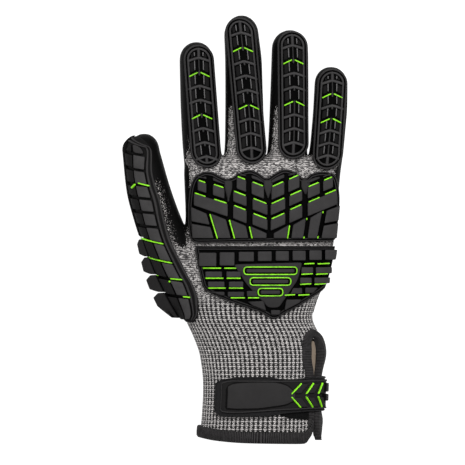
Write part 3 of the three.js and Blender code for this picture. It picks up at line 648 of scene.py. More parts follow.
def thickened(sheet, name, thickness, offset):
    """A sheet with a wall to it. A second material of the sheet goes on the wall's other side."""
    piece = linked(sheet.name, sheet)
    wall = piece.modifiers.new("wall", "SOLIDIFY")
    wall.thickness = thickness * MM
    wall.offset = offset
    wall.material_offset = len(sheet.materials) - 1
    mesh = evaluated(piece)
    mesh.name = name
    bpy.data.objects.remove(piece)
    return mesh


def made(make):
    """The material of one of the finish functions, made on its first use."""
    return bpy.data.materials.get(make.__name__) or make(bpy.context.scene.glove_colours)


def add_relief(relief, name, finish, node=None):
    """Turns a relief into a piece."""
    mesh = relief.mesh(name)
    settle(mesh)
    mesh.materials.append(made(finish))
    add_piece(mesh, node)


def add_guard(body, lines, body_name, lines_name, node):
    """Turns a guard's rubber and its lime lines into two pieces."""
    add_relief(body, body_name, rubber_finish, node)
    add_relief(lines, lines_name, lime_finish)


def add_line(lines, path, sizes):
    """A lime line, level with the tops of the blocks."""
    lines.bar(path, sizes.lime_half, sizes.block_height, sizes.block_height - 1)


class Wire:
    """A value in a material's nodes. Sums on wires add Math nodes."""

    def __init__(self, finish, socket):
        self.finish = finish
        self.socket = socket

    def math(self, operation, first, second=0.0):
        node = self.finish.add("ShaderNodeMath", {"operation": operation}, {0: first, 1: second})
        return Wire(self.finish, node.outputs[0])

    def __add__(self, other):
        return self.math("ADD", self, other)

    def __radd__(self, other):
        return self.math("ADD", other, self)

    def __sub__(self, other):
        return self.math("SUBTRACT", self, other)

    def __rsub__(self, other):
        return self.math("SUBTRACT", other, self)

    def __mul__(self, other):
        return self.math("MULTIPLY", self, other)

    def __truediv__(self, other):
        return self.math("DIVIDE", self, other)

    def __pow__(self, other):
        return self.math("POWER", self, other)

    def __mod__(self, other):
        return self.math("FLOORED_MODULO", self, other)

    def __abs__(self):
        return self.math("ABSOLUTE", self)

    def __floordiv__(self, other):
        return self.math("FLOOR", self / other)

    def sine(self):
        return self.math("SINE", self)

    def step(self, low, high):
        """0 below low, 1 above high and smooth between them."""
        settings = {"interpolation_type": "SMOOTHSTEP"}
        inputs = {"Value": self, "From Min": low, "From Max": high}
        node = self.finish.add("ShaderNodeMapRange", settings, inputs)
        return Wire(self.finish, node.outputs["Result"])


class Finish:
    """A procedural material under construction."""

    def __init__(self, name):
        self.material = bpy.data.materials.new(name)
        self.material.use_nodes = True
        self.tree = self.material.node_tree
        self.tree.nodes.clear()
        self.output = self.tree.nodes.new("ShaderNodeOutputMaterial")
        self.shader = self.tree.nodes.new("ShaderNodeBsdfPrincipled")
        self.tree.links.new(self.shader.outputs[0], self.output.inputs[0])

    def add(self, kind, settings=None, inputs=None):
        """A node of any type: its settings first, then the values or wires of its sockets."""
        node = self.tree.nodes.new(kind)
        for key, value in (settings or {}).items():
            if key == "stops":
                self.set_stops(node.color_ramp, value)
            else:
                setattr(node, key, value)
        for key, value in (inputs or {}).items():
            self.plug(node.inputs[key], value)
        return node

    def set_stops(self, ramp, stops):
        while len(ramp.elements) < len(stops):
            ramp.elements.new(0.5)
        for element, (place, colour) in zip(ramp.elements, stops):
            element.position = place
            element.color = (*colour, 1)

    def plug(self, socket, value):
        if isinstance(value, Wire):
            self.tree.links.new(value.socket, socket)
        else:
            socket.default_value = value

    def wire(self, kind, output, settings=None, inputs=None):
        return Wire(self, self.add(kind, settings, inputs).outputs[output])

    def places(self):
        """The object's own coordinates, in millimetres."""
        coordinates = self.wire("ShaderNodeTexCoord", "Object")
        settings = {"operation": "SCALE"}
        return self.wire("ShaderNodeVectorMath", 0, settings, {0: coordinates, "Scale": 1000.0})

    def noise(self, vector, scale, detail=2.0, roughness=0.5):
        inputs = {"Vector": vector, "Scale": scale, "Detail": detail, "Roughness": roughness}
        return self.wire("ShaderNodeTexNoise", 0, {}, inputs)

    def value(self, name):
        return self.wire("ShaderNodeAttribute", "Fac", {"attribute_name": name})

    def vector(self, x, y, z=0.0):
        return self.wire("ShaderNodeCombineXYZ", 0, {}, {"X": x, "Y": y, "Z": z})

    def mix(self, factor, first, second):
        node = self.add("ShaderNodeMix", {"data_type": "RGBA"}, {"Factor": factor})
        for socket, colour in ((node.inputs[6], first), (node.inputs[7], second)):
            self.plug(socket, colour if isinstance(colour, Wire) else (*colour, 1))
        return Wire(self, node.outputs[2])

    def surface(self, **sockets):
        for key, value in sockets.items():
            self.plug(self.shader.inputs[key.replace("_", " ").title().replace("Ior", "IOR")], value)

    def bump(self, height, distance):
        inputs = {"Height": height, "Distance": distance * MM}
        self.surface(normal=self.wire("ShaderNodeBump", 0, {}, inputs))


NEAR_BLACK = (0.002, 0.002, 0.002)


def darker(colour, share):
    return tuple(part * share for part in colour)


def knit_finish(colours):
    """Grey marl knit: light stitches, flecks of dark fibre and open holes in rows, the holes painted dark
    as the shade seen through them.
    """
    finish = Finish("knit_finish")
    across = finish.value("stitch_across")
    along = finish.value("stitch_along")
    wale, course = 3.1, 2.42
    cell_x = (across / wale) % 1.0 - 0.5
    cell_y = (along / course) % 1.0 - 0.5
    opened = finish.value("stitch_open")
    # Holes and the seams between wales are painted dark: painted shade
    hole = (1 - ((cell_x * 0.9) ** 2 + (cell_y * 0.98) ** 2).step(0.055, 0.13)) * opened
    seam = (1 - abs(cell_x).step(0.04, 0.26)) * opened
    # Two strands of a stitch lean towards each other across every half cell, none quite level, painted
    # lighter than the rungs between them as painted light and shade on the loops
    noise = "ShaderNodeTexWhiteNoise", "Value", {"noise_dimensions": "2D"}
    slip = finish.wire(*noise, {"Vector": finish.vector(across // (wale / 2) + 20, along // course)})
    lean = abs((across / (wale / 2)) % 1.0 - 0.5)
    strand = (along / (course / 2) + lean * 0.5 + slip * 0.3) % 1.0 - 0.5
    strand = (1 - abs(strand) * 2).step(0.15, 0.85)
    fleck = finish.wire(*noise, {"Vector": finish.vector(across // 0.9, along // 0.6)})
    stroke = finish.wire(*noise, {"Vector": finish.vector(across // 1.05 + 40, along // 0.65)})
    soft = finish.noise(finish.vector(across * 0.9, along * 1.5), 0.7, 3.0, 0.6)
    tone = fleck * 0.5 + soft * 0.36 + strand * (opened * 0.36 + 0.3) - seam * 0.62
    tone = (tone + (stroke * 0.5 - 0.14) * (1 - opened) + opened * 0.08).step(0.4, 1.24)
    yarn = finish.mix(tone, colours.knit_dark, colours.knit_light)
    colour = finish.mix(hole, yarn, NEAR_BLACK)
    height = strand * 0.5 + fleck * 0.3 - hole * 1.2
    finish.surface(base_color=colour, roughness=0.88, sheen_weight=0.08)
    finish.bump(height, 0.35)
    return finish.material


def lining_finish(colours):
    """The knit's beige inner face."""
    finish = Finish("lining_finish")
    across = finish.value("stitch_across")
    along = finish.value("stitch_along")
    rows = 1 - abs((along / 1.2) % 1.0 - 0.5) * 2
    columns = 1 - abs((across / 1.5) % 1.0 - 0.5) * 2
    dark = darker(colours.lining, 0.55)
    finish.surface(base_color=finish.mix(rows * columns, dark, colours.lining), roughness=0.9)
    finish.bump(rows * columns, 0.3)
    return finish.material


def coating_finish(colours):
    """Black dipped coating: satin and finely crinkled, thin over the knit near its edge."""
    finish = Finish("coating_finish")
    places = finish.places()
    cover = finish.value("cover")
    crinkle = finish.noise(places, 1.6, 4.0, 0.6)
    grain = finish.noise(places, 5.0, 2.0, 0.7)
    # Specks of knit show through near the coating's edge, and get sparser away from it
    speck = finish.noise(places, 1.6, 3.0, 0.75) - cover * 0.055 + finish.noise(places, 0.3, 2.0) * 0.2
    fleck = speck.step(0.6, 0.66) * (1 - cover.step(1.4, 3.6))
    base = finish.mix(grain.step(0.3, 0.8), NEAR_BLACK, colours.coating)
    finish.surface(
        base_color=finish.mix(fleck, base, colours.knit_light),
        roughness=0.42 + crinkle * 0.2,
        specular_ior_level=0.035,
    )
    finish.bump(crinkle * 0.7 + grain * 0.3 + fleck * 0.4, 0.14)
    return finish.material


def rubber_finish(colours):
    """Moulded rubber: grey-black tops, painted shade in the grooves, painted highlights on ridges, a fine
    mat grain.
    """
    finish = Finish("rubber_finish")
    places = finish.places()
    tone = finish.value("tone")
    grain = finish.noise(places, 4.0, 3.0, 0.7)
    cloud = finish.noise(places, 0.12, 3.0, 0.6)
    shade = (tone * (0.86 + cloud * 0.3) + (grain - 0.5) * tone * 0.35) / 2
    # The ramp runs from the grooves' painted shade through the tops to the painted highlight
    stops = [
        (0.0, colours.rubber_groove),
        (0.5, colours.rubber_top),
        (1.0, colours.rubber_worn),
    ]
    colour = finish.wire("ShaderNodeValToRGB", 0, {"stops": stops}, {0: shade})
    finish.surface(base_color=colour, roughness=0.5 + grain * 0.2, specular_ior_level=0.025)
    finish.bump(grain + cloud * 0.2, 0.1)
    return finish.material


def lime_finish(colours):
    """Bright lime rubber, darker in soft patches, with a faint painted glow."""
    finish = Finish("lime_finish")
    places = finish.places()
    cloud = finish.noise(places, 0.4, 2.0)
    colour = finish.mix(cloud.step(0.2, 0.6), darker(colours.lime, 0.55), colours.lime)
    # The weak emission is a painted glow
    finish.surface(base_color=colour, roughness=0.45, emission_color=colour, emission_strength=0.1)
    finish.bump(finish.noise(places, 3.0), 0.05)
    return finish.material


def tape_finish(colours):
    """Ribbed black elastic tape."""
    finish = Finish("tape_finish")
    places = finish.places()
    run = finish.value("run")
    rib = 1 - abs((run / 1.1) % 1.0 - 0.5) * 2
    wave = finish.noise(places, 0.35, 2.0)
    thread = finish.noise(places, 3.5, 2.0, 0.7)
    shade = (rib * 0.75 + wave * 0.45 + thread * 0.2).step(0.3, 1.15)
    finish.surface(
        base_color=finish.mix(shade, NEAR_BLACK, colours.tape),
        roughness=0.7,
        specular_ior_level=0.1,
    )
    finish.bump(rib * 0.6 + thread * 0.4, 0.25)
    return finish.material


def strap_finish(colours):
    """Black strap with a fine cross weave."""
    finish = Finish("strap_finish")
    places = finish.places()
    parts = finish.add("ShaderNodeSeparateXYZ", {}, {0: places})
    x = Wire(finish, parts.outputs[0])
    y = Wire(finish, parts.outputs[1])
    weave = (x * 7.5).sine() * (y * 7.5).sine()
    thread = finish.noise(places, 2.5, 2.0)
    shade = (weave * 0.3 + thread).step(0.2, 0.9)
    finish.surface(
        base_color=finish.mix(shade, (0.004, 0.004, 0.0045), colours.strap),
        roughness=0.72,
        specular_ior_level=0.2,
    )
    finish.bump(weave * 0.4 + thread * 0.3, 0.15)
    return finish.material


def pile_finish(colours):
    """Loop fastener pile."""
    finish = Finish("pile_finish")
    places = finish.places()
    fuzz = finish.noise(places, 1.8, 4.0, 0.8)
    shade = fuzz.step(0.35, 0.7)
    finish.surface(
        base_color=finish.mix(shade, NEAR_BLACK, colours.pile),
        roughness=0.95,
        specular_ior_level=0.1,
    )
    finish.bump(fuzz, 0.5)
    return finish.material


def floor_finish(colours):
    """The pale floor, which shines a little so that it stays white."""
    finish = Finish("floor_finish")
    places = finish.places()
    tone = finish.noise(places, 0.004, 2.0)
    colour = finish.mix(tone, darker(colours.floor, 0.985), colours.floor)
    finish.surface(base_color=(0.2, 0.2, 0.2, 1), roughness=0.9, specular_ior_level=0.0)
    finish.surface(emission_color=colour, emission_strength=1.1)
    return finish.material


def ring_points(form, y, sides, shrink=1.0):
    return [form.point(y, 360 * (j + 0.5) / sides, 0, shrink) for j in range(sides)]


def tube(rings):
    """Points and faces of a closed tube, from its root to its tip."""
    count = len(rings[0])
    points = [point for ring in rings for point in ring]
    faces = []
    for i in range(len(rings) - 1):
        for j in range(count):
            k = (j + 1) % count
            near, far = i * count, (i + 1) * count
            faces.append((near + j, near + k, far + k, far + j))
    faces.append(tuple(range(count))[::-1])
    faces.append(tuple(range((len(rings) - 1) * count, len(rings) * count)))
    return points, faces


RING_STEP = 2.4
HAND_SIDES = 72
DIGIT_SIDES = 40


def skin_mesh(voxel):
    """The glove's whole outer surface, its digits blended into the hand, closed at the cuff."""
    name = "glove_surface"
    if name in bpy.data.meshes:
        return bpy.data.meshes[name]
    points, faces = [], []
    ys = np.arange(HEM_Y - 6, HAND_FORM.last, RING_STEP)
    rings = [ring_points(HAND_FORM, y, HAND_SIDES) for y in ys]
    parts = [tube(rings)]
    for form in DIGIT_FORMS.values():
        ys = np.arange(form.first, form.last, RING_STEP)
        rings = [ring_points(form, y, DIGIT_SIDES) for y in ys]
        for turn in np.radians(np.linspace(0, 86, 12)):
            y = form.last + form.tip * math.sin(turn)
            rings.append(ring_points(form, y, DIGIT_SIDES, math.cos(turn)))
        parts.append(tube(rings))
    for part_points, part_faces in parts:
        start = len(points)
        points += part_points
        faces += [tuple(start + i for i in face) for face in part_faces]
    rough = new_mesh("glove_surface_rough", points, faces)
    work = linked("glove_surface_rough", rough)
    remesh = work.modifiers.new("blend", "REMESH")
    remesh.mode = "VOXEL"
    remesh.voxel_size = voxel * MM
    smooth = work.modifiers.new("smooth", "SMOOTH")
    smooth.factor = 0.5
    smooth.iterations = 7
    result = evaluated(work)
    result.name = name
    bpy.data.objects.remove(work)
    bpy.data.meshes.remove(rough)
    return result


def coordinates(mesh):
    array = np.empty(len(mesh.vertices) * 3)
    mesh.vertices.foreach_get("co", array)
    return array.reshape(-1, 3) / MM


def spread(mesh, values, rounds):
    """Evens out a number over a mesh, each vertex with its neighbours."""
    edges = np.empty(len(mesh.edges) * 2, dtype=np.int64)
    mesh.edges.foreach_get("vertices", edges)
    edges = edges.reshape(-1, 2)
    count = np.bincount(edges.ravel(), minlength=len(values))
    for _ in range(rounds):
        total = np.bincount(edges[:, 0], values[edges[:, 1]], len(values))
        total += np.bincount(edges[:, 1], values[edges[:, 0]], len(values))
        values = (values + total / np.maximum(count, 1)) / 2
    return values


def trimmed(mesh, keep, name):
    """A copy of a mesh cut along the line where keep, a number for each vertex, is zero."""
    work = bmesh.new()
    work.from_mesh(mesh)
    layer = work.verts.layers.float.new("cover")
    for vertex, value in zip(work.verts, keep):
        vertex[layer] = value if abs(value) > 1e-4 else 1e-4
    for edge in list(work.edges):
        start, end = edge.verts
        if start[layer] * end[layer] < 0:
            share = start[layer] / (start[layer] - end[layer])
            _, middle = bmesh.utils.edge_split(edge, start, share)
            middle[layer] = 0
    for face in list(work.faces):
        cuts = [vertex for vertex in face.verts if vertex[layer] == 0]
        if len(cuts) == 2:
            bmesh.utils.face_split(face, cuts[0], cuts[1])
    outside = [face for face in work.faces if sum(vertex[layer] for vertex in face.verts) < 0]
    bmesh.ops.delete(work, geom=outside, context="FACES")
    result = bpy.data.meshes.new(name)
    work.to_mesh(result)
    work.free()
    return result


def form_angles(form, points):
    """The angle round a form of each point, from its top."""
    y = np.minimum(points[:, 1], form.last)
    x0, z0, wide, high, _, power = form.cut(y)
    across = bend((points[:, 0] - x0) / wide, 1 / power)
    up = bend((points[:, 2] - z0) / high, 1 / power)
    return np.degrees(np.arctan2(across, up))


def digit_at(points):
    """Which finger each point past the knuckles is on."""
    names = ["index", "middle", "ring", "little"]
    distances = []
    for name in names:
        form = DIGIT_FORMS[name]
        x0, _, wide, _, _, _ = form.cut(np.minimum(points[:, 1], form.last))
        distances.append(np.abs(points[:, 0] - x0) - wide)
    return names, np.argmin(np.array(distances), axis=0)


def coating_cover(points):
    """How far each point lies inside the dipped area, in millimetres, below 0 outside it."""
    x, y, z = points.T
    cover = (np.abs(form_angles(HAND_FORM, points)) - SIDE_ANGLE) * 0.6
    cover = np.where(y < LOW_SIDE_FROM, LOW_SIDE_HEIGHT - z, cover)
    cover = np.minimum(cover, (y - COATING_END) * 0.8)
    names, nearest = digit_at(points)
    for i, name in enumerate(names):
        angle = form_angles(DIGIT_FORMS[name], points)
        past = np.where(angle < 0, -angle - Curve(WEDGES[name])(y), angle - Curve(FAR_WEDGE)(y))
        cover = np.where((nearest == i) & (y > FINGERS_FROM), past * 0.2, cover)
    # The thumb and its web are dipped over the top, thinly beside the thumb guard
    web = (y - Curve(WEB_EDGE)(x)) * 0.8
    guard_edge = THUMB_LINE(np.clip(y, -57, 58))
    thin = 0.7 + 0.55 * np.maximum(0, x - guard_edge - 1) + 0.6 * np.maximum(0, y - 30)
    thumb_cover = np.minimum(np.minimum(web, (-27.8 - x) * 0.8), thin)
    thumb_right = DIGIT_FORMS["thumb"].cut(np.clip(y, -60, 50))[0]
    on_thumb = x < np.where(y > 4, -31.2 - y * 0.22, np.where(y > -14, -27.8, thumb_right))
    return np.where(on_thumb & (y > -18), np.maximum(np.where(z < 11, cover, -20), thumb_cover), cover)


def cuff_field(points):
    """Above 0 on the cloth, below 0 past the hem and in the side slit."""
    x, y, z = points.T
    slit = HAND_FORM.point(np.clip(y, HEM_Y, SLIT_TOP), SLIT_ANGLE, 0)
    middle = np.stack([slit[0], slit[2]], axis=1)
    apart = np.linalg.norm(points[:, [0, 2]] - middle, axis=1)
    above = np.maximum(0, y - (SLIT_TOP - 2.5))
    slit_gap = np.sqrt(apart**2 + above**2) - SLIT(y)
    slit_gap = np.where(y > SLIT_TOP + 8, 10, slit_gap)
    corner = np.where((x > slit[0]) | (z < slit[2] - 6), far_rise(x), corner_rise(apart - 4))
    return np.minimum(y - HEM(x) - corner, slit_gap)


def set_values(mesh, name, values):
    attribute = mesh.attributes.get(name) or mesh.attributes.new(name, "FLOAT", "POINT")
    attribute.data.foreach_set("value", np.asarray(values, dtype=np.float32))


def stitch_places(mesh):
    """Gives each vertex its place in the knit, in millimetres across and along."""
    points = coordinates(mesh)
    x, y, z = points.T
    names, nearest = digit_at(points)
    x0, _, wide, high, base, _ = HAND_FORM.cut(y)
    top = base - SINK + 2 * high
    across = np.sign(x - x0) * (np.abs(x - x0) * 39 / wide + np.maximum(0, top - z))
    for i, name in enumerate(names):
        form = DIGIT_FORMS[name]
        x0, _, _, high, base, _ = form.cut(np.minimum(y, form.last))
        side = np.sign(x - x0) * (np.abs(x - x0) + np.maximum(0, base - SINK + 2 * high - z))
        across = np.where((nearest == i) & (y > FINGERS_FROM), x0 + side, across)
    set_values(mesh, "stitch_across", across)
    set_values(mesh, "stitch_along", y)
    set_values(mesh, "stitch_open", np.clip((-38 - y) / 9, 0, 1))


class GloveSizes(bpy.types.PropertyGroup):
    """Sizes that set how finely and how proud the glove is modelled."""

    voxel: bpy.props.FloatProperty(
        name="Surface grain",
        description="Size of the cells that the glove's surface is blended with, in millimetres",
        default=1.3,
        min=0.8,
        max=4,
    )
    knit_wall: bpy.props.FloatProperty(
        name="Knit thickness", description="Thickness of the knit, in millimetres", default=1.2
    )
    block_height: bpy.props.FloatProperty(
        name="Block height", description="Height of the guards' blocks, in millimetres", default=4.2
    )
    lime_half: bpy.props.FloatProperty(
        name="Lime line half width",
        description="Half the width of a lime line, in millimetres",
        default=0.42,
    )
    view_width: bpy.props.FloatProperty(
        name="View width",
        description="Width of the picture at the glove",
        default=0.2883,
        unit="LENGTH",
    )


def colour_property(name, description, value):
    return bpy.props.FloatVectorProperty(
        name=name, description=description, default=value, subtype="COLOR", size=3, min=0, max=1
    )


class GloveColours(bpy.types.PropertyGroup):
    """The glove's colours."""

    knit_light: colour_property("Light yarn", "Light stitches of the marl", (0.68, 0.65, 0.635))
    knit_dark: colour_property("Dark yarn", "Dark stitches of the marl", (0.022, 0.02, 0.021))
    lining: colour_property("Inside", "The knit's inner face", (0.42, 0.33, 0.25))
    coating: colour_property("Coating", "The dipped coating", (0.006, 0.0056, 0.0056))
    rubber_top: colour_property("Rubber tops", "Tops of the guards' blocks", (0.04, 0.0385, 0.039))
    # The painted highlight on ridges and lit edges, and the grooves' painted shade
    rubber_worn: colour_property("Rubber highlight", "Painted highlight on edges and ridges", (0.13, 0.127, 0.128))
    rubber_groove: colour_property("Rubber grooves", "Painted shade in the grooves between the blocks", (0.0006, 0.0006, 0.0006))
    lime: colour_property("Lime", "The lime lines", (0.26, 0.8, 0.006))
    strap: colour_property("Strap", "The strap's weave", (0.016, 0.0155, 0.016))
    pile: colour_property("Loop pile", "The loop fastener", (0.008, 0.008, 0.008))
    tape: colour_property("Tape", "The binding tapes", (0.045, 0.042, 0.043))
    floor: colour_property("Floor", "The pale floor", (0.93, 0.93, 0.93))


class GLOVE_OT_stage(bpy.types.Operator):
    """Camera straight over the glove, soft studio light and a pale floor."""

    bl_idname = "glove.stage"
    bl_label = "Stage"

    camera_height = 2.4
    surface_height = 0.025
    centre_x = -0.00124
    centre_y = -0.00155
    floor_half = 3.0
    sky_strength = 0.36

    def execute(self, context):
        scene = context.scene
        camera = bpy.data.cameras.new("camera")
        camera.sensor_width = 36
        camera.lens = 36 * (self.camera_height - self.surface_height) / scene.glove_sizes.view_width
        camera.clip_end = 20
        scene.camera = linked("camera", camera)
        scene.camera.location = (self.centre_x, self.centre_y, self.camera_height)
        self.add_light("key", (0.35, 0.75, 1.5), 0.8, 24)
        self.add_light("fill", (-0.8, 0.1, 1.5), 1.2, 6)
        self.add_floor()
        world = scene.world or bpy.data.worlds.new("world")
        scene.world = world
        world.use_nodes = True
        background = world.node_tree.nodes["Background"]
        background.inputs["Color"].default_value = (1, 1, 1, 1)
        background.inputs["Strength"].default_value = self.sky_strength
        scene.view_settings.view_transform = "Standard"
        return {"FINISHED"}

    def add_light(self, name, place, size, power):
        light = bpy.data.lights.new(name, "AREA")
        light.size = size
        light.energy = power
        lamp = linked(name, light)
        lamp.location = place
        down = np.array(place) / np.linalg.norm(place)
        lamp.rotation_euler = (math.acos(down[2]), 0, math.atan2(down[1], down[0]) + math.pi / 2)

    def add_floor(self):
        mesh = bpy.data.meshes.new("floor")
        corners = rectangle(-self.floor_half, self.floor_half, -self.floor_half, self.floor_half)
        mesh.from_pydata([(*corner, 0) for corner in corners], [], [(0, 1, 2, 3)])
        mesh.materials.append(made(floor_finish))
        floor = linked("floor", mesh)


class GLOVE_OT_knit_shell(bpy.types.Operator):
    """The knitted shell, open at the cuff and slit at its side."""

    bl_idname = "glove.knit_shell"
    bl_label = "Knit shell"

    def execute(self, context):
        sizes = context.scene.glove_sizes
        skin = skin_mesh(sizes.voxel)
        cloth = trimmed(skin, cuff_field(coordinates(skin)), "knit_shell_skin")
        stitch_places(cloth)
        cloth.shade_smooth()
        cloth.materials.append(made(knit_finish))
        cloth.materials.append(made(lining_finish))
        add_piece(thickened(cloth, "knitted_shell", sizes.knit_wall, -1), "knit_shell")
        return {"FINISHED"}


class GLOVE_OT_palm_coating(bpy.types.Operator):
    """The black coating dipped over the palm, the sides and the tips."""

    bl_idname = "glove.palm_coating"
    bl_label = "Palm coating"

    def execute(self, context):
        skin = skin_mesh(context.scene.glove_sizes.voxel)
        cover = spread(skin, coating_cover(coordinates(skin)), 6)
        coat = trimmed(skin, cover, "dipped_coating_skin")
        normals = np.empty(len(coat.vertices) * 3)
        coat.vertex_normals.foreach_get("vector", normals)
        points = coordinates(coat) + normals.reshape(-1, 3) * LAYER_GAP
        coat.vertices.foreach_set("co", (points * MM).ravel())
        coat.shade_smooth()
        coat.materials.append(made(coating_finish))
        mesh = thickened(coat, "dipped_palm_coating", COATING_REACH - LAYER_GAP, 1)
        add_piece(mesh, "palm_coating")
        return {"FINISHED"}


class GLOVE_OT_finger_guards(bpy.types.Operator):
    """The four finger guards: rims, chevron ribs, ridges and lime chevrons."""

    bl_idname = "glove.finger_guards"
    bl_label = "Finger guards"

    half = 9.6
    inner = 6.2
    rim_width = 3.4
    end_gap = 3.2
    lean = 1.9

    def execute(self, context):
        for name, guard in FINGER_GUARDS.items():
            body = Relief(finger_skin(name))
            lines = Relief(finger_skin(name))
            self.shape(body, lines, guard, context.scene.glove_sizes.lime_half)
            add_guard(body, lines, f"{name}_finger_guard", f"{name}_lime_chevrons", f"{name}_guard")
        return {"FINISHED"}

    def loop(self, centre, root, tip, distance, steps=20):
        """The guard's outline moved inward by a distance."""
        half = self.half - distance
        points = []
        for middle, start in ((tip - self.half, 0), (root + self.half, 180)):
            for k in range(steps + 1):
                turn = math.radians(start + 180 * k / steps)
                y = middle + half * math.sin(turn)
                points.append((centre(y) + half * math.cos(turn), y))
        return points

    def room(self, y, root, tip):
        """Half the width inside the inner rim at y."""
        near = min(y - root, tip - y, self.half)
        reach = self.half - self.rim_width
        return math.sqrt(max(0.0, reach**2 - (self.half - near) ** 2))

    def shape(self, body, lines, guard, lime_half):
        centre = Curve(guard.line)
        root, tip = guard.line[0][0], guard.line[-1][0]
        rows = []
        count = 60
        for k in range(count + 1):
            y = root + (tip - root) * (0.5 - 0.5 * math.cos(math.pi * k / count))
            near = min(y - root, tip - y, self.half) + 0.02
            half = math.sqrt(self.half**2 - (self.half - near) ** 2)
            rows.append([(centre(y) + half * share, y) for share in np.linspace(-1, 1, 13)])
        body.plate(rows, 1.0)
        body.bar(self.loop(centre, root, tip, 0.75), 0.7, 2.0, tone=0.85, closed=True)
        body.bar(self.loop(centre, root, tip, 2.9), 0.75, 2.9, tone=1.05, closed=True)
        ribs = [guard.first - k * guard.pitch for k in range(guard.ribs)]
        edges = [tip - self.end_gap, *ribs, root + self.end_gap]
        for row, (high, low) in enumerate(zip(edges, edges[1:]), 1):
            if row > 1:
                for side in (-1, 1):
                    self.rib(body, lines, centre, high, side, row - 1 in guard.lime, lime_half)
            self.spine(body, centre, low, high, row, guard)
            if row <= guard.ribs:
                for side in (-1, 1):
                    self.cell(body, centre, low, high, side, self.room((low + high) / 2, root, tip))

    def spine(self, body, centre, low, high, row, guard):
        """The rib between a row's two cells, whole in the end rows and a stub in the others."""
        foot = low
        if row in (1, guard.ribs + 1):
            half, top, tone = 1.1, 2.8, 1.0
        elif row == 2:
            half, top, tone = 0.5, 2.4, 0.75
        elif row >= guard.spine:
            half, top, tone = 0.6, 2.3, 0.75
        else:
            foot = high - 1.8
            half, top, tone = 0.75, 2.8, 1.0
        body.bar([(centre(high), high), (centre(foot), foot)], half, top, tone=tone)

    def rib(self, body, lines, centre, y, side, is_lime, lime_half):
        """One arm of a chevron, from the spine to the rim."""
        drop = self.lean + 1 if is_lime else self.lean
        arm = []
        for share in np.linspace(0, 1, 5):
            low = y - drop * share**1.2
            arm.append((centre(low) + side * self.inner * share, low))
        # A rib under a lime line is lower and painted dark with the grooves' painted shade; the others take
        # a faint painted highlight
        body.bar(arm, 1.0, 2.2 if is_lime else 2.9, tone=0.15 if is_lime else 1.1)
        if is_lime:
            start, end = np.array(arm[0]), np.array(arm[-1])
            lines.bar([start + (end - start) * 0.19, end - (end - start) * 0.03], lime_half, 3.1, 2.1)

    def cell(self, body, centre, low, high, side, room):
        """The low pad in one cell, painted dark as shade in the pocket, and the narrow ridge with a painted
        highlight along it.
        """
        if room < 4.2 or high - low < 4:
            return
        outer = min(room, 5.9)

        def spot(across, along):
            place = along - self.lean * across / self.inner
            return centre(place) + side * across, place

        corners = [(3.3, low + 1.2), (outer, low + 1.2), (outer, high - 1.4), (3.3, high - 1.4)]
        body.block([spot(*corner) for corner in corners], 1.7, 0.6, 0.3, tone=0.22)
        body.bar([spot(2.7, low + 2.2), spot(2.7, high - 1.3)], 0.45, 2.9, tone=2.0)


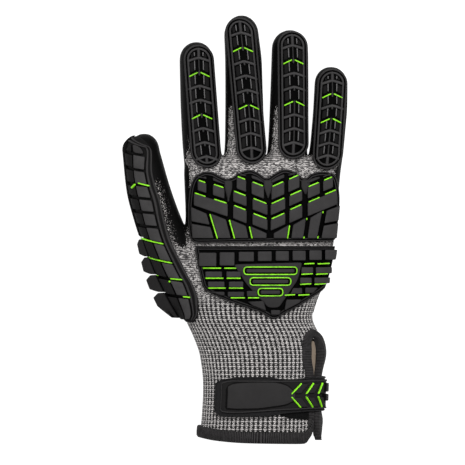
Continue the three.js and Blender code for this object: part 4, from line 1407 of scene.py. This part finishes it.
class GLOVE_OT_thumb_guard(bpy.types.Operator):
    """The thumb guard: two columns of blocks, teeth down the outer side and lime lines."""

    bl_idname = "glove.thumb_guard"
    bl_label = "Thumb guard"

    # Places across the guard run from 0 at its outer side to this at its inner edge
    across = 20
    bend_length = 7
    # Where the left end of a line between blocks lies, and how far on its right end
    line_start = 2
    line_run = 14

    def execute(self, context):
        sizes = context.scene.glove_sizes
        body = Relief(self.skin)
        lines = Relief(self.skin)
        low, high = THUMB_EDGE[0][0], THUMB_EDGE[-1][0]
        places = np.linspace(0, self.across, 21)
        body.plate([[(x, y) for x in places] for y in np.linspace(low, high, 70)], GUARD_PLATE, tone=0.2)
        for reach, half, top, tone in ((0.7, 0.6, 2.3, 0.9), (2.6, 0.6, 2.6, 0.95)):
            body.bar(self.rim(low, high, reach), half, top, tone=tone)
        side = [(0.9, y) for y in np.linspace(-3.2, 54, 42)] + [(1.6, 56), (3, 57.4), (5, 58)]
        body.bar(side, 1.1, sizes.block_height - 0.3, tone=0.3)
        for upper, lower in zip(THUMB_LINES, THUMB_LINES[1:]):
            if upper.tooth:
                self.tooth(body, upper, lower, sizes)
            else:
                self.cell(body, upper, lower, sizes)
            self.line(lines, upper, sizes)
        add_guard(body, lines, "thumb_impact_guard", "thumb_lime_lines", "thumb_guard")
        return {"FINISHED"}

    def rim(self, low, high, reach):
        """The rim's line up the inner edge and round the tip, reach inside the edge."""
        inner = self.across - reach
        start = high - self.bend_length
        line = [(inner, y) for y in np.linspace(low + 1.5, start, 60)]
        for k in range(1, 13):
            line.append((inner - k * 1.3, start + (self.bend_length - reach) * math.sin(k * 0.131)))
        return line

    def skin(self, x, y, height):
        return thumb_skin(x / self.across, y, height)

    def at(self, line, x, lift=0.0):
        """A place on a line between blocks, or lift above it."""
        rise = (line.right - line.left) * (x - self.line_start) / self.line_run
        return x, line.left + rise + lift

    def slab(self, body, upper, lower, left, right, top, tone, gap=0.75):
        outline = [
            self.at(lower, left, gap), self.at(lower, right, gap),
            self.at(upper, right, -gap), self.at(upper, left, -gap),
        ]
        body.block(outline, top, tone=tone)

    def cell(self, body, upper, lower, sizes):
        if upper.kind == "end":
            outline = [self.at(lower, 10.4, 0.7), self.at(lower, 16, 0.7), (14.6, 52), (11, 53.4)]
            body.block(outline, sizes.block_height - 0.8, tone=0.85, radius=1.6)
            body.block([self.at(lower, 4, 1), self.at(lower, 8.8, 0.6), (9.4, 53)], 2.8, tone=0.3)
            return
        # The slab towards the outer side takes painted shade and the slab towards the inner edge painted
        # light, as on two facets
        self.slab(body, upper, lower, 2.9, 9.6, sizes.block_height - 1.0, 0.3, 1.1)
        self.slab(body, upper, lower, 10.6, 16.4, sizes.block_height - 0.4, 1.1)

    def tooth_skin(self, x, y, height):
        """The skin drawn out sideways at the guard's outer edge, more so towards the root."""
        stretch = 1 + max(0, 1 - x / 6) * (0.66 - (y + 9) * 0.036)
        return thumb_skin(x / self.across, y, height * stretch)

    def tooth(self, body, upper, lower, sizes):
        """A lower block: a facet with painted light, a facet with painted shade and a tooth that stands out
        past the side.
        """
        top = sizes.block_height
        high, low = upper.left * 0.95 - 1.4, lower.left * 0.95 - 0.8
        heel = low + (7 if lower.kind == "end" else 1.5)
        tooth = [(0.7, heel), (3.2, low), (5.4, low), (5.4, high), (3.2, high), (0.7, high - 3)]
        body.skin = self.tooth_skin
        body.block(tooth, top + 0.4, bevel=0.6, radius=0.35, tone=0.5)
        body.skin = self.skin
        self.slab(body, upper, lower, 5.9, 11.4, top + 0.2, 0.35, 0.9)
        self.slab(body, upper, lower, 11.9, 16.6, top - 0.2, 1.15, 0.9)

    def line(self, lines, line, sizes):
        half = sizes.lime_half * 1.1
        top = sizes.block_height + 0.1
        paths = {
            "lime": [[self.at(line, 3.6), self.at(line, 9.6, 0.1), self.at(line, 16.2)]],
            "chevron": [[(7.6, 26.2), (10.1, 28.2)], [(12.6, 29), (17, 27.4)]],
            "hook": [
                [(10.5, -32.6), (11.6, -31.8)], [(12.9, -30.2), (16.7, -30.7)], [(5.6, -28), (6, -28.1)],
            ],
            "short": [[(15, -41.3), (17, -41.6)]],
        }
        for path in paths.get(line.kind, []):
            lines.bar(path, half, top, top - 1.1)


class GLOVE_OT_knuckle_guard(bpy.types.Operator):
    """The knuckle guard: sloping blocks, the long groove, the fan and the lime lines."""

    bl_idname = "glove.knuckle_guard"
    bl_label = "Knuckle guard"

    def execute(self, context):
        sizes = context.scene.glove_sizes
        body = Relief(back_skin)
        lines = Relief(back_skin)
        low, high = edge_curves(KNUCKLE_OUTLINE)
        xs = np.linspace(KNUCKLE_OUTLINE[0][0], KNUCKLE_OUTLINE[-1][0], 110)
        body.plate(grid([(x, low(x), high(x)) for x in xs], 26), GUARD_PLATE)
        outline = dense([(x, low(x)) for x in xs] + [(x, high(x)) for x in xs[::-1]], 1.5)
        for reach, half, top, tone in ((0.55, 0.5, 2.3, 0.75), (1.95, 0.5, 2.5, 0.7)):
            body.bar(inset(outline, reach), half, top, tone=tone, closed=True, step=3)
        for left, right, below, above in KNUCKLE_SADDLES:
            middle = (left + right) / 2
            saddle = [(middle, below), (right, above - 5), (right, above), (left, above), (left, above - 5)]
            body.block(saddle, 2.9, tone=0.75, bevel=0.9, radius=1.5)
        for column in KNUCKLE_COLUMNS:
            self.column(body, lines, column, high, sizes)
        for first, second in (KNUCKLE_COLUMNS[:2], KNUCKLE_COLUMNS[6:]):
            self.long_block(body, first, second, sizes)
        self.fan(body, lines, sizes)
        add_guard(body, lines, "knuckle_impact_guard", "knuckle_lime_lines", "knuckle_guard")
        return {"FINISHED"}

    def at(self, column, level, x):
        """Height along the hand of one of a column's sloping lines at x."""
        return level + column.slope * (x - (column.left + column.right) / 2)

    def column(self, body, lines, column, high, sizes):
        levels = [column.line_a, column.line_b, column.line_c, column.groove]
        levels = [level for level in levels if level is not None]
        for i, level in enumerate(levels[:-1]):
            left, right = (column.top_left, column.top_right) if i == 0 else (column.left, column.right)
            add_line(lines, [(x, self.at(column, level, x)) for x in (left + 1, right - 1)], sizes)
            if column.line_c is None and i == 1:
                continue
            low = levels[i + 1] + (0.7 if levels[i + 1] == column.groove else 2.3)
            sides = [(left, column, low, level - 0.3), (right, column, low, level - 0.3)]
            self.sloping(body, sides, sizes)
        left, right = column.top_left, column.top_right
        cap = [(x, self.at(column, levels[0] + 2.2, x)) for x in (left, right)]
        for x in np.linspace(right, left, 5):
            cap.append((x, max(high(x) - 3.2, self.at(column, levels[0] + 2.4, x))))
        body.block(cap, sizes.block_height - 0.8, tone=0.85)

    def long_block(self, body, first, second, sizes):
        """The lowest block of an outer pair of columns, which runs over both."""
        ends = ((first.left, first), (second.right, second))
        sides = [(x, column, column.groove + 0.7, column.line_b - 0.3) for x, column in ends]
        self.sloping(body, sides, sizes)

    def sloping(self, body, sides, sizes):
        """A block between two upright sides, each with its place, column and two levels."""
        low = [(x, self.at(column, level, x)) for x, column, level, _ in sides]
        high = [(x, self.at(column, level, x)) for x, column, _, level in sides]
        body.block([*low, *high[::-1]], sizes.block_height)

    def fan(self, body, lines, sizes):
        for i, (left, right) in enumerate(zip(KNUCKLE_FAN, KNUCKLE_FAN[1:])):
            start, end = (0.5, 2.2) if i < 4 else (2.2, 0.5)
            outline = [
                (left.low_x + start, FAN_LOW), (right.low_x - end, FAN_LOW),
                (right.top_x - end, right.top_y - 0.9), (left.top_x + start, left.top_y - 0.9),
            ]
            if i in (0, 7):
                self.split(body, outline, sizes.block_height)
            else:
                body.block(outline, sizes.block_height)
        for i in (1, 2, 3, 5, 6, 7):
            divider = KNUCKLE_FAN[i]
            top = np.array([divider.top_x, divider.top_y - 1.5])
            foot = np.array([divider.low_x, FAN_LOW + 0.2])
            # The last two lines show at their ends only
            for start, end in ((0, 1),) if i < 6 else ((0, 0.04), (0.96, 1)):
                add_line(lines, [top + (foot - top) * start, top + (foot - top) * end], sizes)

    def split(self, body, outline, height):
        """An outer block in two, with a narrow groove across it."""
        low_left, low_right, top_right, top_left = (np.array(point) for point in outline)
        for start, end in ((0, 0.46), (0.54, 1)):
            body.block([
                low_left + (top_left - low_left) * start,
                low_right + (top_right - low_right) * start,
                low_right + (top_right - low_right) * end,
                low_left + (top_left - low_left) * end,
            ], height)


class GLOVE_OT_hand_back_guard(bpy.types.Operator):
    """The guard on the hand's back: a row of blocks, two wings and a plate of stacked bars."""

    bl_idname = "glove.hand_back_guard"
    bl_label = "Hand back guard"

    def execute(self, context):
        sizes = context.scene.glove_sizes
        body = Relief(back_skin)
        lines = Relief(back_skin)
        left, right = edge_curves(BACK_OUTLINE)
        ys = np.linspace(BACK_OUTLINE[-1][0], BACK_OUTLINE[0][0], 46)
        shares = np.linspace(0, 1, 70)
        rows = [[(left(y) + (right(y) - left(y)) * share, y) for share in shares] for y in ys]
        body.plate(rows, GUARD_PLATE)
        outline = dense([(right(y), y) for y in ys] + [(left(y), y) for y in ys[::-1]], 1.5)
        for reach, half, top, tone in ((0.6, 0.5, 2.3, 0.7), (1.95, 0.5, 2.4, 0.65)):
            body.bar(inset(outline, reach), half, top, tone=tone, closed=True, step=3)
        for block in TOP_BLOCKS:
            rise = (block.left + 22) * 0.022
            body.block(rectangle(block.left, block.right, block.low, -14 + rise), sizes.block_height)
        for outline in LOW_BLOCKS:
            body.block(outline, sizes.block_height, tone=0.85)
        for previous, wing in zip([None, *WINGS], WINGS):
            self.wing(body, lines, previous, wing, sizes)
        body.block(CENTRE_PLATE, 2.6, radius=2, tone=0.8)
        for bar in CENTRE_BARS:
            self.centre_bar(body, lines, bar, sizes)
        add_guard(body, lines, "hand_back_impact_guard", "hand_back_lime_lines", "hand_back_guard")
        return {"FINISHED"}

    def centre_bar(self, body, lines, bar, sizes):
        """A lime outline with a well inside it painted dark as shade, and a bar in the well."""
        for shrink, top, base, tone in ((0, 2.75, 2.2, 0.02), (1.5, sizes.block_height - 0.4, 2.2, 0.9)):
            half, tall = bar.half - shrink, BAR_HALF_HEIGHT - shrink * 0.75
            outline = rectangle(BAR_X - half, BAR_X + half, bar.y - tall, bar.y + tall)
            body.block(outline, top, base, radius=tall * 0.9, tone=tone)
            if shrink == 0:
                loop = dense(rounded(anticlockwise(outline), tall * 0.95, 6), 1.5)
                lines.bar(loop, sizes.lime_half * 0.95, sizes.block_height - 0.6, 2.2, closed=True, step=3)

    def wing(self, body, lines, previous, wing, sizes):
        """One row of both wings: its lime lines, and the blocks between them and the row above."""
        sides = [
            (wing.left_y, wing.left_out, wing.left_split, wing.left_in, previous and previous.left_y),
            (wing.right_y, wing.right_in, wing.right_split, wing.right_out, previous and previous.right_y),
        ]
        for side, (y, start, split, end, above) in enumerate(sides):
            for near, far in ((start, split - 0.9), (split + 0.9, end)):
                add_line(lines, [(near + 0.4, y), (far - 0.4, y + side * 0.3)], sizes)
            if above is None or wing is WINGS[-1]:
                continue
            reach = 2.6 if side else 0
            for near, far in ((start, split - 1.8 + side), (split + 0.9, end + reach)):
                body.block(rectangle(near, far, y + 0.6, above - 2.0), sizes.block_height)


class GLOVE_OT_wrist_strap(bpy.types.Operator):
    """The wrist strap and its moulded pad with arrow ribs."""

    bl_idname = "glove.wrist_strap"
    bl_label = "Wrist strap"

    side_angle = 88

    def execute(self, context):
        strap = Relief(cuff_skin(STRAP_SEAT))
        self.band(strap, STRAP_OUTLINE, STRAP_SEAT, end_angle=172, wall=1.0, count=120, tone=0)
        add_relief(strap, "wrist_strap_web", strap_finish, "wrist_strap")
        pad = Relief(cuff_skin(PAD_SEAT))
        lines = Relief(cuff_skin(PAD_SEAT))
        self.band(pad, PAD_BASE, PAD_SEAT, end_angle=92, wall=0.7, count=80, tone=0.35)
        self.panel(pad)
        self.arrows(pad, lines, context.scene.glove_sizes)
        add_guard(pad, lines, "strap_moulded_pad", "strap_lime_arrows", "strap_pad")
        return {"FINISHED"}

    def stations(self, outline, seat, end_angle, count):
        """Angles round the cuff with the band's two edges at each."""
        start = HAND_FORM.angle_at(outline[0][0], ARROW_MIDDLE, seat)
        low, high = edge_curves(outline)
        result = []
        for angle in np.linspace(start, end_angle, count):
            # Round the cuff's side and under it, the edges stay where the outline ends
            past = angle >= self.side_angle
            x = outline[-1][0] if past else HAND_FORM.point(ARROW_MIDDLE, angle, seat)[0]
            result.append((angle, low(x), high(x)))
        return result

    def band(self, relief, outline, seat, end_angle, wall, count, tone):
        """A strip round the cuff with a stitched or moulded line along its edges."""
        stations = self.stations(outline, seat, end_angle, count)
        relief.plate(grid(stations, 13), wall, edge=0.25, tone=tone)
        edge = [(angle, low + 0.6) for angle, low, _ in stations[1:-2][::-1]]
        edge += [(angle, high - 0.6) for angle, _, high in stations[1:-2]]
        relief.bar(edge, 0.5, wall + 0.5, 0.2, tone=0.8)

    def panel(self, pad):
        """The smooth raised panel, with a bevelled step round it."""
        end = HAND_FORM.angle_at(PAD_PANEL[-1][0], ARROW_MIDDLE, PAD_SEAT)
        stations = self.stations(PAD_PANEL, PAD_SEAT, end, 40)
        # The step is painted dark and the panel lighter: painted shade on the step
        pad.plate(grid(stations, 9), 1.3, 0.2, edge=0.4, tone=0.12)
        smaller = [(angle, low + 1, high - 1) for angle, low, high in stations[2:]]
        pad.plate(grid(smaller, 9), 2.0, 0.2, edge=0.4, tone=0.7)

    def arrows(self, pad, lines, sizes):
        """The ribs and lime lines of the arrows, and the two blocks past them."""
        for arrow in ARROWS:
            for side in (-1, 1):
                tip = np.array([arrow.point, ARROW_MIDDLE + side * 1.2])
                end = np.array([arrow.end, ARROW_MIDDLE + side * ARROW_HALF])
                near, far = (1.2, 0), (9.5, 0)
                corners = [tip + near, tip + far, end + far, end + near]
                pad.block(corners, 1.9, 0.3, radius=0.8, tone=0.5, step=3)
                height = 2.6 if arrow is ARROWS[0] else 1.7
                lines.bar([tip, end], sizes.lime_half * 1.1, height, height - 1)
        for low, high in ((-100.2, -94.8), (-105.8, -101.6)):
            pad.block(rectangle(67, 73, low, high), 3.7, 0.3, radius=0.8, tone=0.9)


class GLOVE_OT_cuff_trim(bpy.types.Operator):
    """The hem's folded tape, the slit's tape and lining, and the loop patch."""

    bl_idname = "glove.cuff_trim"
    bl_label = "Cuff trim"

    hem_band = 7.4
    hem_length = 200
    hem_rings = 460
    rib_depth = 0.14

    def execute(self, context):
        self.hem()
        self.slit()
        self.lining()
        self.patch()
        return {"FINISHED"}

    def swept(self, name, rings, run, node):
        """A tape whose section is swept through rings of points."""
        mesh = new_mesh(name, *tube(rings))
        set_values(mesh, "run", np.repeat(run, len(rings[0])))
        settle(mesh, 70)
        mesh.materials.append(made(tape_finish))
        add_piece(mesh, node)

    def hem(self):
        """A tape folded over the hem, gathered into small ribs."""
        start, end = SLIT_ANGLE + 40, SLIT_ANGLE - 5 + 360
        rings, run = [], []
        count = self.hem_rings
        for k in range(count + 1):
            angle = start + (end - start) * k / count
            rib = math.sin(k * 0.75) * self.rib_depth
            corner = corner_rise((count - k) / count * self.hem_length)
            if angle < 270:
                corner = far_rise(HAND_FORM.point(HEM_Y, angle, 0)[0])
            ring = []
            for offset, rise in self.hem_profile(self.hem_band, rib):
                x = HAND_FORM.point(HEM_Y, angle, offset)[0]
                place = HEM(x) + rise + corner
                ring.append(HAND_FORM.point(place, angle, offset))
            rings.append(ring)
            run.append(k * 0.5)
        self.swept("hem_tape", rings, run, "hem_binding")

    def hem_profile(self, band, rib):
        """Offset from the knit and rise over the hem, round the tape's folded section."""
        outer, wall = 2.3 + rib, 1.2
        return [
            (outer - 0.7, band - 1.1), (outer, band - 1.9), (outer + 0.1, band * 0.5 - 1.1),
            (outer - 0.1, 0.1), (outer - 0.9, -0.9), (0.2 - wall, -1.1), (-wall - 0.9, -0.6),
            (-wall - 1.2, band * 0.5 - 1.1), (-wall - 0.4, band - 1.7),
            (-wall - 0.3, 0.5), (0.3, 0.3), (0.32, band - 1.5),
        ]

    def slit_point(self, side, y, offset):
        """A place beside the slit's middle, side millimetres towards the palm."""
        near = HAND_FORM.point(y, SLIT_ANGLE - 2, 0)
        far = HAND_FORM.point(y, SLIT_ANGLE + 2, 0)
        degrees = 4 / np.linalg.norm(far - near)
        return HAND_FORM.point(y, SLIT_ANGLE + side * degrees, offset)

    def slit(self):
        """A tape folded over the slit's edges, from the hem up and round and down again."""
        rings, run = [], []
        bend_y = SLIT_TOP - 6.5
        near_widths = Curve([(-131, 3.4), (-112, 3.4), (-92, 4.4), (-76, 4.4)])
        far_widths = Curve([
            (HEM_Y + 1, 0.2), (HEM_Y + 2, 1.4), (HEM_Y + 5, 4.2), (-121, 7.2), (-112, 8), (-92, 4.6),
            (-76, 5.2),
        ])
        stations = [(y, -90) for y in np.linspace(HEM_Y + 10.5, bend_y - 0.8, 44)]
        stations += [(bend_y, turn) for turn in np.linspace(-88, 88, 32)]
        stations += [(y, 90) for y in np.linspace(bend_y - 0.8, HEM_Y + 1, 56)]
        profile = [
            (0.12, -1.9), (-0.05, -1.7), (-0.09, 0.1), (0.0, 1.1), (0.12, 1.5), (0.26, 1.2),
            (0.36, 1.0), (0.86, 1.15), (0.96, 0.9), (1.0, 0.3),
        ]
        for k, (y, turn) in enumerate(stations):
            leg = math.sin(math.radians(turn))
            top = math.cos(math.radians(turn))
            stand = 1.9 * math.exp(-((y + 74) / 10) ** 2) * max(0, leg)
            stand += 0.9 * min(1, max(0, -112 - y) / 4) * max(0, leg)
            width = near_widths(y) if turn < 0 else far_widths(y)
            # The far leg's end narrows to a point away from the slit
            bite = max(0, -119 - y) * 0.28 + max(0, HEM_Y + 4 - y) * 0.7 if turn == 90 else 0
            ring = []
            for reach, offset in profile:
                side = (SLIT(y) + 0.1 + bite + reach * width) * leg
                place = y + (SLIT_TOP + 0.6 - bend_y + reach * width) * top
                ring.append(self.slit_point(side, place, offset + (stand if offset > 0 else 0)))
            rings.append(ring)
            run.append(k * 1.2)
        self.swept("slit_tape", rings, run, "slit_binding")

    def lining(self):
        """The knit's beige inner face, seen through the slit."""
        relief = Relief(self.slit_point)
        ys = np.linspace(-92, -69, 16)
        rows = [[(side, y) for side in np.linspace(-3.4, 1.4 + 0.08 * (y + 92), 5)] for y in ys]
        relief.plate(rows, -1.6, -2.2, edge=0.1)
        add_relief(relief, "slit_lining", lining_finish)

    def patch(self):
        """The loop patch, which shows below the strap."""
        relief = Relief(cuff_skin(LAYER_GAP))
        start = HAND_FORM.angle_at(-8.5, ARROW_MIDDLE, LAYER_GAP)
        end = HAND_FORM.angle_at(46, ARROW_MIDDLE, LAYER_GAP)
        turn = end - start
        low = Curve([
            (start, -113.4), (start + turn * 0.55, -113.6), (start + turn * 0.7, -116.2), (end, -117.4),
        ])
        stations = [(angle, low(angle), -93) for angle in np.linspace(start, end, 50)]
        relief.plate(grid(stations, 22), 0.9, edge=0.3)
        add_relief(relief, "loop_fastener_patch", pile_finish, "loop_patch")


OPERATORS = (
    GLOVE_OT_stage,
    GLOVE_OT_knit_shell,
    GLOVE_OT_palm_coating,
    GLOVE_OT_finger_guards,
    GLOVE_OT_thumb_guard,
    GLOVE_OT_knuckle_guard,
    GLOVE_OT_hand_back_guard,
    GLOVE_OT_wrist_strap,
    GLOVE_OT_cuff_trim,
)


class GLOVE_PT_panel(bpy.types.Panel):
    """Lists the glove's pieces, sizes and colours."""

    bl_idname = "GLOVE_PT_panel"
    bl_label = "Impact glove"
    bl_space_type = "VIEW_3D"
    bl_region_type = "UI"
    bl_category = "Glove"

    def draw(self, context):
        column = self.layout.column()
        for operator in OPERATORS:
            column.operator(operator.bl_idname)
        for group in (context.scene.glove_sizes, context.scene.glove_colours):
            for name in group.__annotations__:
                column.prop(group, name)


CLASSES = (GloveSizes, GloveColours, *OPERATORS, GLOVE_PT_panel)


def register():
    for item in CLASSES:
        bpy.utils.register_class(item)
    bpy.types.Scene.glove_sizes = bpy.props.PointerProperty(type=GloveSizes)
    bpy.types.Scene.glove_colours = bpy.props.PointerProperty(type=GloveColours)


def unregister():
    del bpy.types.Scene.glove_sizes
    del bpy.types.Scene.glove_colours
    for item in reversed(CLASSES):
        bpy.utils.unregister_class(item)


def main():
    register()
    bpy.ops.glove.stage()
    bpy.ops.glove.knit_shell()
    bpy.ops.glove.palm_coating()
    bpy.ops.glove.finger_guards()
    bpy.ops.glove.thumb_guard()
    bpy.ops.glove.knuckle_guard()
    bpy.ops.glove.hand_back_guard()
    bpy.ops.glove.wrist_strap()
    bpy.ops.glove.cuff_trim()


if __name__ == "__main__":
    main()
